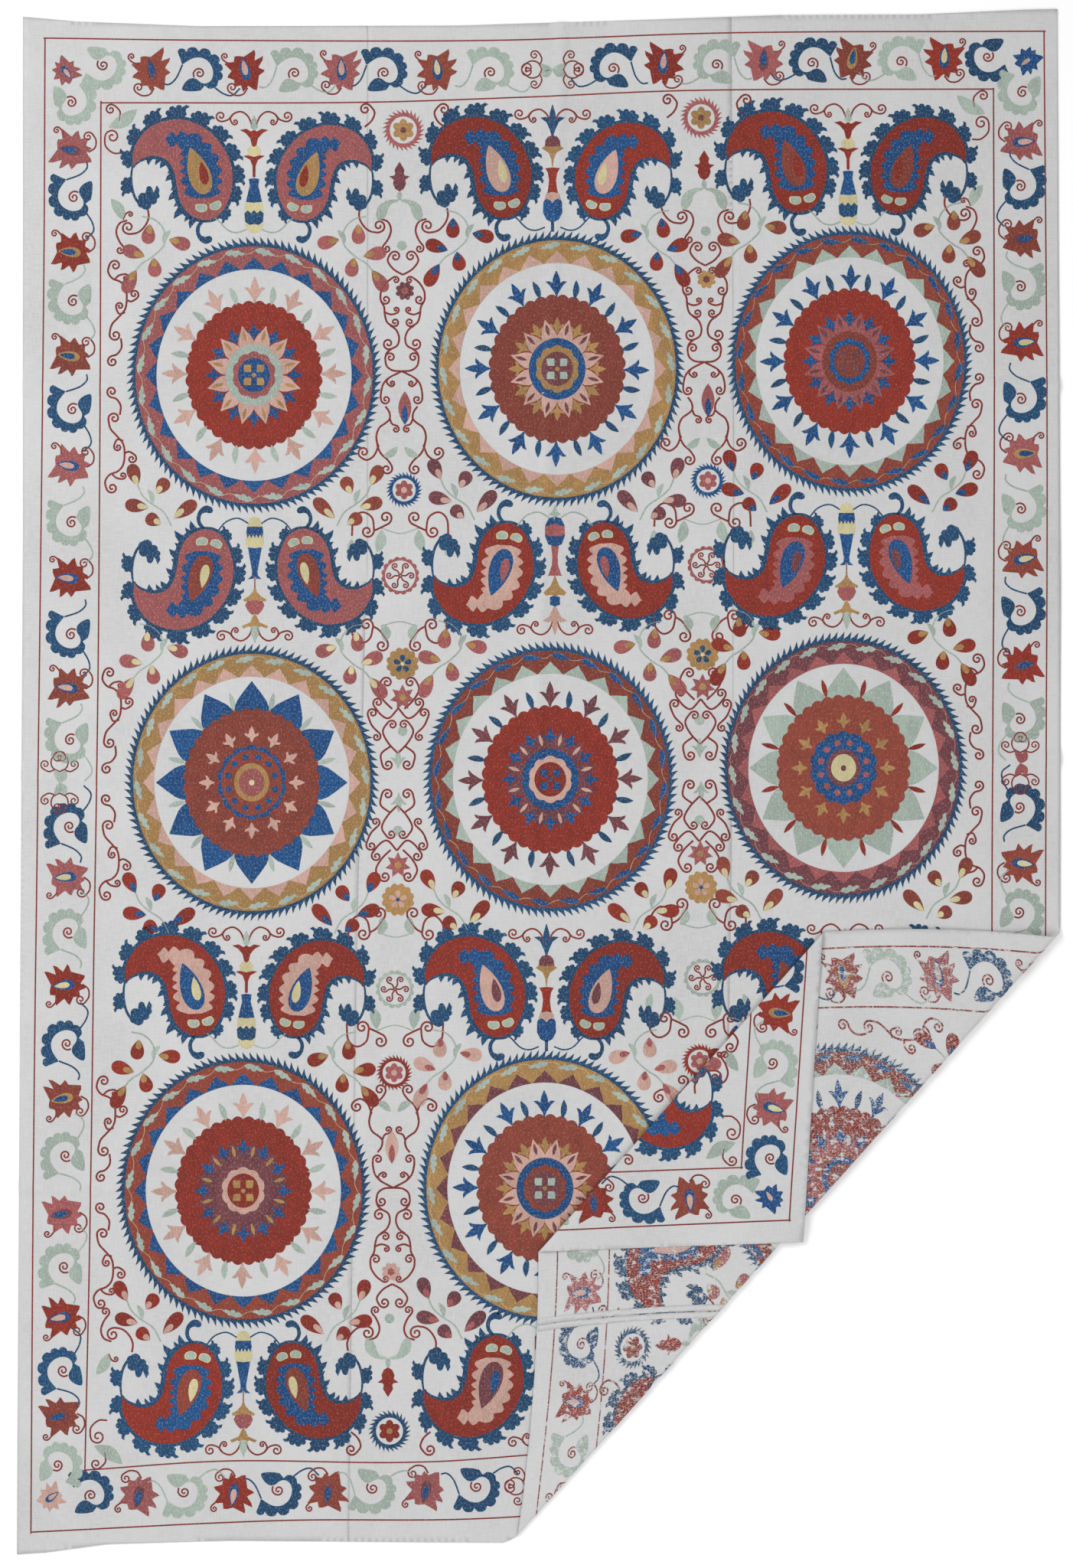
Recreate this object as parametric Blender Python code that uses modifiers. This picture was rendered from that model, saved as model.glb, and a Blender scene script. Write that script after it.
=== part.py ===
"""Suzani bedspread: three embroidered cotton panels sewn side by side.

The cloth lies face up on the floor. Its lower right corner is folded back over the face, so that
the reverse shows, and the tip of that corner is folded forward again, so that its face shows.

Each panel is worked out flat, in the plane of the floor, and is then folded:
- the cloth short of the first fold stays where it is;
- the first fold is a half round roll, which ends in the flap;
- the flap runs back in straight rulings to the second fold, a tighter half round roll;
- the tip runs forward again over the flap.

Metres, +X to the right, +Y towards the top of the cloth, +Z up. The origin is on the floor, under
the middle of the cloth.
"""

import math

import bmesh
import bpy
import numpy as np
from mathutils import Vector

# The sheet: its thickness, the seam's gap, and the air between two layers that lie on each other.
CLOTH = 0.0015
SEAM_GAP = 0.0004
LAYER_GAP = 0.0008

# The mesh: the pitch of a panel's grid and the flat facets of one half round roll.
PITCH = 0.058
ROLL_FACETS = 10

# The cut cloth's outline. Each row is a place along an edge: x, y.
TOP_EDGE = [
    (-0.748, 1.108),
    (-0.670, 1.101),
    (-0.492, 1.094),
    (-0.115, 1.095),
    (0.173, 1.104),
    (0.350, 1.110),
    (0.550, 1.111),
    (0.705, 1.118),
    (0.751, 1.119),
]
BOTTOM_EDGE = [
    (-0.756, -1.119),
    (-0.714, -1.116),
    (-0.626, -1.104),
    (-0.448, -1.099),
    (-0.049, -1.102),
    (-0.030, -1.092),
    (0.378, -1.050),
    (0.760, -1.010),
]
# Each row is a place along a side or a seam: y, x.
LEFT_EDGE = [(-1.119, -0.756), (0.356, -0.7475), (1.119, -0.7475)]
LEFT_SEAM = [(-1.12, -0.276), (-0.250, -0.264), (0.210, -0.252), (0.356, -0.248), (1.12, -0.248)]
RIGHT_SEAM = [
    (-1.12, 0.274),
    (-0.753, 0.265),
    (-0.476, 0.273),
    (-0.143, 0.279),
    (0.411, 0.283),
    (1.12, 0.279),
]
RIGHT_EDGE = [(-1.010, 0.760), (-0.217, 0.7555), (0.290, 0.756), (1.119, 0.751)]

# The first fold: its outer line on the floor, from the right side to the lower edge, and the
# radius of its roll at each end.
FOLD_1_START = Vector((0.7555, -0.217))
FOLD_1_END = Vector((-0.030, -1.090))
ROLL_1_START = 0.0070
ROLL_1_END = 0.0030
# The second fold: the same line on the flat cloth and where it lies once folded.
FOLD_2_FLAT_START = Vector((0.7575, -0.561))
FOLD_2_FLAT_END = Vector((0.378, -1.050))
FOLD_2_START = Vector((0.4115, -0.2185))
FOLD_2_END = Vector((-0.001, -0.681))
ROLL_2 = 0.0020

# How far from a fold its roll still lifts the layer that leaves it.
LIFT_1 = 0.045
LIFT_2 = 0.030
# Past the first fold the tip has nothing under it and droops by this share of the square of the
# distance, per metre.
DROOP = 9.0
# Distances from the first fold, and from the second, at which the layers above are cut in rows.
LIFT_ROWS_1 = (0.018, 0.038, 0.062, 0.095)
LIFT_ROWS_2 = (0.012, 0.026, 0.045)

# Storage creases, as soft ridges. Each row: start x, start y, end x, end y, height, half width.
CREASES = [
    (-0.748, 0.572, 0.755, 0.574, 0.0026, 0.016),
    (-0.750, 0.008, 0.756, 0.034, 0.0030, 0.018),
    (-0.753, -0.588, -0.085, -0.582, 0.0024, 0.016),
    (0.034, 1.097, -0.011, -0.160, 0.0022, 0.015),
]
# A crease is cut at these shares of its half width, and fades over this length at its ends.
CREASE_ROWS = (-1.0, -0.5, 0.0, 0.5, 1.0)
CREASE_FADE = 0.060

# Each row: node name, the edge on its left, the edge on its right, columns.
PANELS = [
    ("left_panel", LEFT_EDGE, LEFT_SEAM, 9),
    ("middle_panel", LEFT_SEAM, RIGHT_SEAM, 10),
    ("right_panel", RIGHT_SEAM, RIGHT_EDGE, 9),
]
OUTER_EDGES = (LEFT_EDGE, RIGHT_EDGE)

COTTON = (0.72, 0.70, 0.68, 1.0)


def along(table, at):
    """The second column of an edge's table, read at a value of its first column."""
    rows = np.array(table)
    return np.interp(at, rows[:, 0], rows[:, 1])


def unit(vector):
    """The vector at length 1."""
    return vector / vector.length


FOLD_1_RUN = unit(FOLD_1_END - FOLD_1_START)
FOLD_1_LENGTH = (FOLD_1_END - FOLD_1_START).length
FOLD_1_OUT = Vector((-FOLD_1_RUN.y, FOLD_1_RUN.x))
FOLD_2_FLAT_RUN = unit(FOLD_2_FLAT_END - FOLD_2_FLAT_START)
FOLD_2_FLAT_OUT = Vector((-FOLD_2_FLAT_RUN.y, FOLD_2_FLAT_RUN.x))
FOLD_2_RUN = unit(FOLD_2_END - FOLD_2_START)
FOLD_2_FORWARD = Vector((-FOLD_2_RUN.y, FOLD_2_RUN.x))
FOLD_2_HALF = math.pi * ROLL_2 / 2


def roll_radius(s):
    """The first fold's radius, outside, at a distance s along it."""
    return ROLL_1_START + (ROLL_1_END - ROLL_1_START) * s / FOLD_1_LENGTH


def split(points, start, run, out):
    """Distances along a line and out from it, for an array of flat points."""
    offset = points - np.array(start)
    return offset @ np.array(run), offset @ np.array(out)


def place(start, run, out, s, d):
    """The points at distances s along a line and d out from it."""
    return np.array(start) + s[:, None] * np.array(run) + d[:, None] * np.array(out)


def fold_2_reach(s):
    """How far past the first fold the second one is cut, on the ruling at s, on the flat cloth."""
    start_s, start_d = split(
        np.array([FOLD_2_FLAT_START]), FOLD_1_START, FOLD_1_RUN, FOLD_1_OUT
    )
    end_s, end_d = split(np.array([FOLD_2_FLAT_END]), FOLD_1_START, FOLD_1_RUN, FOLD_1_OUT)
    return start_d + (end_d - start_d) * (s - start_s) / (end_s - start_s)


def crease_height(points):
    """The ridges' height over the floor: a smooth hump across each crease, faded at its ends."""
    height = np.zeros(len(points))
    for x0, y0, x1, y1, top, half in CREASES:
        run = unit(Vector((x1 - x0, y1 - y0)))
        s, d = split(points, (x0, y0), run, (-run.y, run.x))
        length = math.hypot(x1 - x0, y1 - y0)
        inside = np.clip(1 - (d / half) ** 2, 0, 1) ** 2
        ends = np.clip(np.minimum(s + CREASE_FADE, length + CREASE_FADE - s) / CREASE_FADE, 0, 1)
        height = np.maximum(height, top * inside * ends)
    return height


def flap_height(points):
    """The height of the flap's upper side: the roll's at the fold, sinking to two layers' on
    from it. Past the fold it is what a layer lying on the flap droops to."""
    s, d = split(points, FOLD_1_START, FOLD_1_RUN, FOLD_1_OUT)
    roll = roll_radius(s)
    settled = 2 * CLOTH + LAYER_GAP
    lift = np.exp(-((np.maximum(-d - roll, 0) / LIFT_1) ** 2))
    return settled + (2 * roll - settled) * lift - DROOP * np.maximum(d, 0) ** 2


def folded(points):
    """Where points of the flat cloth's underside lie once it is folded, as x, y, z."""
    s, d = split(points, FOLD_1_START, FOLD_1_RUN, FOLD_1_OUT)
    along_2, past_2 = split(points, FOLD_2_FLAT_START, FOLD_2_FLAT_RUN, FOLD_2_FLAT_OUT)
    roll = roll_radius(s)
    edge_2 = ROLL_2 + CLOTH

    spot = np.column_stack([points, crease_height(points)])

    turn = (d + roll) / roll
    on_roll = (turn > 0) & (turn < math.pi)
    out = -roll + roll * np.sin(turn)
    rolled = place(FOLD_1_START, FOLD_1_RUN, FOLD_1_OUT, s, out)
    spot[on_roll] = np.column_stack([rolled, roll * (1 - np.cos(turn))])[on_roll]

    flap_start = roll * (math.pi - 1)
    flap_end = fold_2_reach(s) - FOLD_2_HALF
    share = ((d - flap_start) / (flap_end - flap_start))[:, None]
    near = place(FOLD_1_START, FOLD_1_RUN, FOLD_1_OUT, s, -roll)
    far = place(FOLD_2_START, FOLD_2_RUN, FOLD_2_FORWARD, along_2, np.full(len(s), edge_2))
    flap = near + (far - near) * share
    on_flap = turn >= math.pi
    spot[on_flap] = np.column_stack([flap, flap_height(flap)])[on_flap]

    turn_2 = (past_2 + FOLD_2_HALF) / ROLL_2
    forward = edge_2 - ROLL_2 * np.sin(turn_2)
    rolled = place(FOLD_2_START, FOLD_2_RUN, FOLD_2_FORWARD, along_2, forward)
    height = flap_height(far) + ROLL_2 * (1 - np.cos(turn_2))
    on_roll = on_flap & (turn_2 > 0) & (turn_2 < math.pi)
    spot[on_roll] = np.column_stack([rolled, height])[on_roll]

    beyond = past_2 - FOLD_2_HALF
    tip = place(FOLD_2_START, FOLD_2_RUN, FOLD_2_FORWARD, along_2, edge_2 + beyond)
    lift = LAYER_GAP + (2 * ROLL_2 - LAYER_GAP) * np.exp(-((np.maximum(beyond, 0) / LIFT_2) ** 2))
    on_tip = on_flap & (turn_2 >= math.pi)
    spot[on_tip] = np.column_stack([tip, flap_height(tip) + lift])[on_tip]
    return spot


def flat_panel(left, right, columns):
    """A grid over one panel of the cut cloth. Across, it runs from one side to the other, and up,
    from the lower edge to the top one."""
    rows = round((TOP_EDGE[0][1] - BOTTOM_EDGE[0][1]) / PITCH)
    mesh = bmesh.new()
    bmesh.ops.create_grid(mesh, x_segments=columns, y_segments=rows, size=0.5)
    inset_left = 0 if left in OUTER_EDGES else SEAM_GAP / 2
    inset_right = 0 if right in OUTER_EDGES else SEAM_GAP / 2
    for vertex in mesh.verts:
        across = vertex.co.x + 0.5
        up = vertex.co.y + 0.5
        start = along(left, 0) + inset_left
        end = along(right, 0) - inset_right
        column = start + (end - start) * across
        y = along(BOTTOM_EDGE, column) * (1 - up) + along(TOP_EDGE, column) * up
        start = along(left, y) + inset_left
        end = along(right, y) - inset_right
        vertex.co = (start + (end - start) * across, y, 0)
    return mesh


def cut(mesh, start, end):
    """Adds a row of points to a flat panel, along the straight line through two flat points."""
    run = Vector((end[0] - start[0], end[1] - start[1], 0))
    bmesh.ops.bisect_plane(
        mesh,
        geom=mesh.verts[:] + mesh.edges[:] + mesh.faces[:],
        dist=0.00002,
        plane_co=(start[0], start[1], 0),
        plane_no=(-run.y, run.x, 0),
    )


def cut_creases(mesh):
    """Rows along each crease, where its ridge rises and turns."""
    for x0, y0, x1, y1, _, half in CREASES:
        run = unit(Vector((x1 - x0, y1 - y0)))
        for share in CREASE_ROWS:
            aside = Vector((-run.y, run.x)) * half * share
            cut(mesh, (x0 + aside.x, y0 + aside.y), (x1 + aside.x, y1 + aside.y))


def cut_folds(mesh):
    """Rows along both rolls, and where the layers that leave them settle."""
    ends = np.array([0.0, FOLD_1_LENGTH])
    roll = roll_radius(ends)
    flap_start = roll * (math.pi - 1)
    flap_end = fold_2_reach(ends) - FOLD_2_HALF
    width = -split(
        np.array([(FOLD_2_START + FOLD_2_END) / 2]), FOLD_1_START, FOLD_1_RUN, FOLD_1_OUT
    )[1][0]
    for k in range(ROLL_FACETS + 1):
        out = roll * (math.pi * k / ROLL_FACETS - 1)
        cut(mesh, *place(FOLD_1_START, FOLD_1_RUN, FOLD_1_OUT, ends, out))
        past = np.full(2, FOLD_2_HALF * (2 * k / ROLL_FACETS - 1))
        cut(mesh, *place(FOLD_2_FLAT_START, FOLD_2_FLAT_RUN, FOLD_2_FLAT_OUT, ends, past))
    for inward in LIFT_ROWS_1:
        share = inward / (width - ROLL_2 - CLOTH)
        out = flap_start + (flap_end - flap_start) * share
        cut(mesh, *place(FOLD_1_START, FOLD_1_RUN, FOLD_1_OUT, ends, out))
        past = np.full(2, width - ROLL_2 - CLOTH + FOLD_2_HALF - inward)
        cut(mesh, *place(FOLD_2_FLAT_START, FOLD_2_FLAT_RUN, FOLD_2_FLAT_OUT, ends, past))
    for forward in (*LIFT_ROWS_2, width):
        past = np.full(2, FOLD_2_HALF + forward)
        cut(mesh, *place(FOLD_2_FLAT_START, FOLD_2_FLAT_RUN, FOLD_2_FLAT_OUT, ends, past))


def cotton(name):
    """Plain undyed cotton."""
    material = bpy.data.materials.new(name)
    material.use_nodes = True
    shader = material.node_tree.nodes["Principled BSDF"]
    shader.inputs["Base Color"].default_value = COTTON
    shader.inputs["Roughness"].default_value = 0.9
    shader.inputs["Metallic"].default_value = 0.0
    return material


def panel(name, left, right, columns):
    """One panel: laid out flat, cut along its creases and folds, folded, and made a sheet."""
    mesh = flat_panel(left, right, columns)
    cut_creases(mesh)
    cut_folds(mesh)
    flat = np.array([vertex.co.xy for vertex in mesh.verts])
    for vertex, spot in zip(mesh.verts, folded(flat)):
        vertex.co = spot
    bmesh.ops.triangulate(mesh, faces=mesh.faces[:])
    data = bpy.data.meshes.new(name)
    mesh.to_mesh(data)
    mesh.free()
    data.materials.append(cotton(name + "_cotton"))
    item = bpy.data.objects.new(name, data)
    sheet = item.modifiers.new("sheet", "SOLIDIFY")
    sheet.thickness = CLOTH
    sheet.offset = 1.0
    sheet.use_even_offset = True
    return item


for item in list(bpy.data.objects):
    bpy.data.objects.remove(item, do_unlink=True)
bedspread = bpy.data.collections.new("suzani_bedspread")
bpy.context.scene.collection.children.link(bedspread)
for row in PANELS:
    bedspread.objects.link(panel(*row))
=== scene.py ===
import math

import bpy
import numpy as np
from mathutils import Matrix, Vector, geometry


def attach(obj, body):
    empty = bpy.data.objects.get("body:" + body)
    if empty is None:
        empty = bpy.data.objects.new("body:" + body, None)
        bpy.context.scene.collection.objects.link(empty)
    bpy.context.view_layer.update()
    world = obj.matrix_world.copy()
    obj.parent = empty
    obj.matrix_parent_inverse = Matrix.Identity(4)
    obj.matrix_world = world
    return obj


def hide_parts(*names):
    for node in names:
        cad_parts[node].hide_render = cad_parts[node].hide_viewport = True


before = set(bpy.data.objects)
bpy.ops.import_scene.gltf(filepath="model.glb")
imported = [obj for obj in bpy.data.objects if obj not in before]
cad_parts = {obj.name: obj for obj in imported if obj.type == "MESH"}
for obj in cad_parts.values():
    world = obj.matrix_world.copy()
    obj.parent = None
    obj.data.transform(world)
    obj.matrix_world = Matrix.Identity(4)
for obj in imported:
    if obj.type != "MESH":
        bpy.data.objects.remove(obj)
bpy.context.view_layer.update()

# The cloth as it lies. Three loom widths of cotton are joined side by side, and the lower right
# corner is folded back over the face and its tip forward again. Every piece below is drawn on
# the flat cloth, in metres, and laid on these folds.
CLOTH = 0.0007
REST = 0.00045
FOLD_1_START, FOLD_1_END = np.array([0.7555, -0.217]), np.array([-0.030, -1.090])
ROLL_1_START, ROLL_1_END = 0.0070, 0.0030
FOLD_2_FLAT_START, FOLD_2_FLAT_END = np.array([0.7575, -0.561]), np.array([0.378, -1.050])
FOLD_2_START, FOLD_2_END = np.array([0.4115, -0.2185]), np.array([-0.001, -0.681])
ROLL_2 = 0.0022
LIFT_1, LIFT_2, DROOP = 0.045, 0.030, 9.0
SETTLED_FLAP, SETTLED_TIP = 0.0036, 0.0011
# Each row: start x, start y, end x, end y, height, half width of a storage crease.
CREASES = [
    (-0.748, 0.572, 0.755, 0.574, 0.0026, 0.016),
    (-0.750, 0.008, 0.756, 0.034, 0.0030, 0.018),
    (-0.753, -0.588, -0.085, -0.582, 0.0024, 0.016),
    (0.034, 1.097, -0.011, -0.160, 0.0022, 0.015),
]
CREASE_FADE = 0.060
# Gentle waves of the whole cloth. Each row: x and y waves per metre, phase, height.
WAVES = [(2.1, 1.3, 0.4, 0.00022), (-1.2, 3.1, 2.0, 0.00020), (4.3, -2.2, 4.1, 0.00012)]
FLAP_WAVES = [(5.0, 3.4, 1.0, 0.00055), (-3.1, 6.3, 2.7, 0.00045), (8.2, 7.1, 0.3, 0.00025)]


def line_frame(start, end):
    """A line's start, its direction, and the direction to its left, seen from above."""
    run = (end - start) / np.linalg.norm(end - start)
    return start, run, np.array([-run[1], run[0]])


def split(points, line):
    """Distances along a line and to its left."""
    return (points - line[0]) @ line[1], (points - line[0]) @ line[2]


def place(line, along, left):
    """The points at distances along a line and to its left."""
    return line[0] + np.multiply.outer(along, line[1]) + np.multiply.outer(left, line[2])


FOLD_1 = line_frame(FOLD_1_START, FOLD_1_END)
FOLD_2_FLAT = line_frame(FOLD_2_FLAT_START, FOLD_2_FLAT_END)
FOLD_2 = line_frame(FOLD_2_START, FOLD_2_END)
FOLD_1_LENGTH = np.linalg.norm(FOLD_1_END - FOLD_1_START)
FOLD_2_HALF = math.pi * ROLL_2 / 2


def swell(points, rows):
    """The sum of low waves over the floor, each between zero and twice its height."""
    x, y = points[:, 0], points[:, 1]
    return sum(h * (1 + np.sin(math.tau * (u * x + v * y) + turn)) for u, v, turn, h in rows)


def crease_height(points):
    """A smooth hump across each crease, (1 - q squared) squared, faded at the crease's ends."""
    height = np.zeros(len(points))
    for x0, y0, x1, y1, top, half in CREASES:
        start, end = np.array([x0, y0]), np.array([x1, y1])
        s, d = split(points, line_frame(start, end))
        length = np.linalg.norm(end - start)
        fade = np.clip(np.minimum(s + CREASE_FADE, length + CREASE_FADE - s) / CREASE_FADE, 0, 1)
        height = np.maximum(height, top * np.clip(1 - (d / half) ** 2, 0, 1) ** 2 * fade)
    return height


def roll_radius(s):
    """The first fold's outer radius, even from one end to the other."""
    return ROLL_1_START + (ROLL_1_END - ROLL_1_START) * s / FOLD_1_LENGTH - REST


def flap_height(points):
    """The flap's upper side: the roll's height at the fold, sinking on from it, and its waves."""
    s, d = split(points, FOLD_1)
    roll = roll_radius(s)
    away = np.maximum(-d - roll, 0)
    top = 2 * roll + REST
    lift = np.exp(-((away / LIFT_1) ** 2))
    wave = swell(points, FLAP_WAVES) * (1 - np.exp(-((away / 0.07) ** 2)))
    return SETTLED_FLAP + (top - SETTLED_FLAP) * lift + wave - DROOP * np.maximum(d, 0) ** 2


def fold_2_reach(s):
    """How far past the first fold the second is, on the flat cloth, at s along the first."""
    ends_s, ends_d = split(np.array([FOLD_2_FLAT_START, FOLD_2_FLAT_END]), FOLD_1)
    return ends_d[0] + (ends_d[1] - ends_d[0]) * (s - ends_s[0]) / (ends_s[1] - ends_s[0])


def folded(points):
    """Where the flat cloth's underside lies: still short of the first fold, round its half roll,
    along the flap in straight rulings, round the second fold's half roll, and on the tip."""
    s, d = split(points, FOLD_1)
    along_2, past_2 = split(points, FOLD_2_FLAT)
    roll = roll_radius(s)
    edge_2 = ROLL_2 + CLOTH
    spot = np.column_stack([points, REST + crease_height(points)])

    turn = (d + roll) / roll
    part = (turn > 0) & (turn < math.pi)
    rolled = place(FOLD_1, s, -roll + roll * np.sin(turn))
    spot[part] = np.column_stack([rolled, REST + roll * (1 - np.cos(turn))])[part]

    flap_start = roll * (math.pi - 1)
    share = (d - flap_start) / (fold_2_reach(s) - FOLD_2_HALF - flap_start)
    near, far = place(FOLD_1, s, -roll), place(FOLD_2, along_2, np.full(len(s), edge_2))
    flap = near + (far - near) * share[:, None]
    on_flap = turn >= math.pi
    spot[on_flap] = np.column_stack([flap, flap_height(flap)])[on_flap]

    turn_2 = (past_2 + FOLD_2_HALF) / ROLL_2
    rolled = place(FOLD_2, along_2, edge_2 - ROLL_2 * np.sin(turn_2))
    part = on_flap & (turn_2 > 0) & (turn_2 < math.pi)
    height = flap_height(far) + ROLL_2 * (1 - np.cos(turn_2))
    spot[part] = np.column_stack([rolled, height])[part]

    beyond = past_2 - FOLD_2_HALF
    tip = place(FOLD_2, along_2, edge_2 + beyond)
    lift = np.exp(-((np.maximum(beyond, 0) / LIFT_2) ** 2))
    height = flap_height(tip) + SETTLED_TIP + (2 * ROLL_2 - SETTLED_TIP) * lift
    part = on_flap & (turn_2 >= math.pi)
    spot[part] = np.column_stack([tip, height])[part]
    spot[:, 2] += swell(spot[:, :2], WAVES)
    return spot


def lay(points, rise):
    """The places of flat points at a rise above the underside, along the cloth's own normal."""
    step = 0.0002
    spot = folded(points)
    normal = np.cross(folded(points + (step, 0)) - spot, folded(points + (0, step)) - spot)
    normal /= np.linalg.norm(normal, axis=1, keepdims=True)
    return spot + normal * np.reshape(rise, (-1, 1))


# How the cloth and the stitches are meshed. Both are cut along the same rows, where the creases,
# the rolls and the layers above them bend, so that the stitches follow the cloth exactly.
def rows_of_points():
    """The rows' two ends on the flat cloth."""
    rows = []
    for x0, y0, x1, y1, _, half in CREASES:
        crease = line_frame(np.array([x0, y0]), np.array([x1, y1]))
        length = math.hypot(x1 - x0, y1 - y0)
        ends = np.array([-CREASE_FADE, length + CREASE_FADE])
        rows += [place(crease, ends, np.full(2, half * q)) for q in np.linspace(-1, 1, 9)]
    ends = np.array([0.0, FOLD_1_LENGTH])
    roll = roll_radius(ends)
    start, reach = roll * (math.pi - 1), fold_2_reach(ends) - FOLD_2_HALF
    width = -split((FOLD_2_START + FOLD_2_END)[None] / 2, FOLD_1)[1][0] - ROLL_2 - CLOTH
    rows += [place(FOLD_1, ends, roll * (math.pi * q - 1)) for q in np.linspace(0, 1, 13)]
    past = [FOLD_2_HALF * q for q in np.linspace(-1, 1, 9)]
    for inward in (0.010, 0.018, 0.026, 0.034, 0.043, 0.052, 0.062, 0.075, 0.090, 0.110):
        rows.append(place(FOLD_1, ends, start + (reach - start) * inward / width))
        past.append(width + FOLD_2_HALF - inward)
    past += [FOLD_2_HALF + q for q in (0.008, 0.016, 0.025, 0.036, 0.050, width)]
    rows += [place(FOLD_2_FLAT, np.array([-0.05, 0.70]), np.full(2, q)) for q in past]
    return np.array(rows)


ROWS = rows_of_points()


def inside(points, loops):
    """Which points lie inside closed outlines, by counting the edges to their right."""
    hit = np.zeros(len(points), int)
    x, y = points[:, :1], points[:, 1:]
    for loop in loops:
        after = np.roll(loop, -1, axis=0)
        crosses = (loop[:, 1] > y) != (after[:, 1] > y)
        rise = np.where(after[:, 1] == loop[:, 1], 1, after[:, 1] - loop[:, 1])
        hit += (crosses & (loop[:, 0] + (y - loop[:, 1]) * (after[:, 0] - loop[:, 0]) / rise > x)).sum(1)
    return hit % 2 == 1


def rows_within(low, high):
    """The parts of the rows that cross a box."""
    start, run = ROWS[:, 0], ROWS[:, 1] - ROWS[:, 0]
    run = np.where(np.abs(run) < 1e-9, 1e-9, run)
    a, b = (low - start) / run, (high - start) / run
    first = np.maximum(np.minimum(a, b).max(1), 0)[:, None]
    last = np.minimum(np.maximum(a, b).min(1), 1)[:, None]
    keep = (last > first)[:, 0]
    return np.stack([start + run * first, start + run * last], axis=1)[keep]


def triangulate(loops, pitch):
    """Fills closed outlines with triangles: the outlines, the rows that cross them and a grid of
    inner points go into a Delaunay triangulation, and the triangles outside are left out."""
    edge = np.concatenate(loops)
    low, high = edge.min(0), edge.max(0)
    joins, first = [], 0
    for loop in loops:
        count = np.arange(len(loop))
        joins.append(np.column_stack([count, (count + 1) % len(loop)]) + first)
        first += len(loop)
    spots = [edge]
    for start, end in rows_within(low - 0.0001, high + 0.0001):
        count = math.ceil(np.linalg.norm(end - start) / pitch) + 1
        spots.append(start + (end - start) * np.linspace(0, 1, count)[:, None])
        joins.append(np.column_stack([np.arange(count - 1), np.arange(1, count)]) + first)
        first += count
    if (high - low).min() > pitch:
        axes = [
            np.arange(math.ceil(a / pitch), math.floor(b / pitch) + 1) * pitch for a, b in zip(low, high)
        ]
        grid = np.stack(np.meshgrid(*axes), axis=-1).reshape(-1, 2)
        spots.append(grid[inside(grid, loops)])
    spots = [Vector(p) for p in np.concatenate(spots)]
    found = geometry.delaunay_2d_cdt(spots, np.concatenate(joins).tolist(), [], 0, 1e-7, False)
    points = np.array([tuple(p) for p in found[0]])
    faces = np.array([f for f in found[2] if len(f) == 3])
    a, b, c = (points[faces[:, k]] for k in range(3))
    size = (b - a)[:, 0] * (c - a)[:, 1] - (b - a)[:, 1] * (c - a)[:, 0]
    faces[size < 0] = faces[size < 0][:, ::-1]
    faces = faces[(np.abs(size) > 1e-11) & inside((a + b + c) / 3, loops)]
    used, faces = np.unique(faces, return_inverse=True)
    return points[used], faces.reshape(-1, 3)


def rim(faces, count):
    """The edges that only one triangle has, in that triangle's direction."""
    sides = np.concatenate([faces[:, [0, 1]], faces[:, [1, 2]], faces[:, [2, 0]]])
    return sides[~np.isin(sides[:, 0] * count + sides[:, 1], sides[:, 1] * count + sides[:, 0])]


def mesh_piece(name, spots, flat, faces, shade=None):
    """A piece from arrays, with the flat cloth's coordinates as its UV map."""
    mesh = bpy.data.meshes.new(name)
    mesh.vertices.add(len(spots))
    mesh.vertices.foreach_set("co", spots.astype(np.float32).ravel())
    mesh.loops.add(faces.size)
    mesh.loops.foreach_set("vertex_index", faces.astype(np.int32).ravel())
    mesh.polygons.add(len(faces))
    mesh.polygons.foreach_set("loop_start", np.arange(0, faces.size, 3, dtype=np.int32))
    mesh.update(calc_edges=True)
    mesh.uv_layers.new(name="Flat").uv.foreach_set("vector", flat[faces.ravel()].astype(np.float32).ravel())
    if shade is not None:
        mesh.attributes.new("shade", "FLOAT", "POINT").data.foreach_set("value", shade.astype(np.float32))
    mesh.polygons.foreach_set("use_smooth", np.ones(len(faces), bool))
    piece = bpy.data.objects.new(name, mesh)
    bpy.context.scene.collection.objects.link(piece)
    return piece


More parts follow.
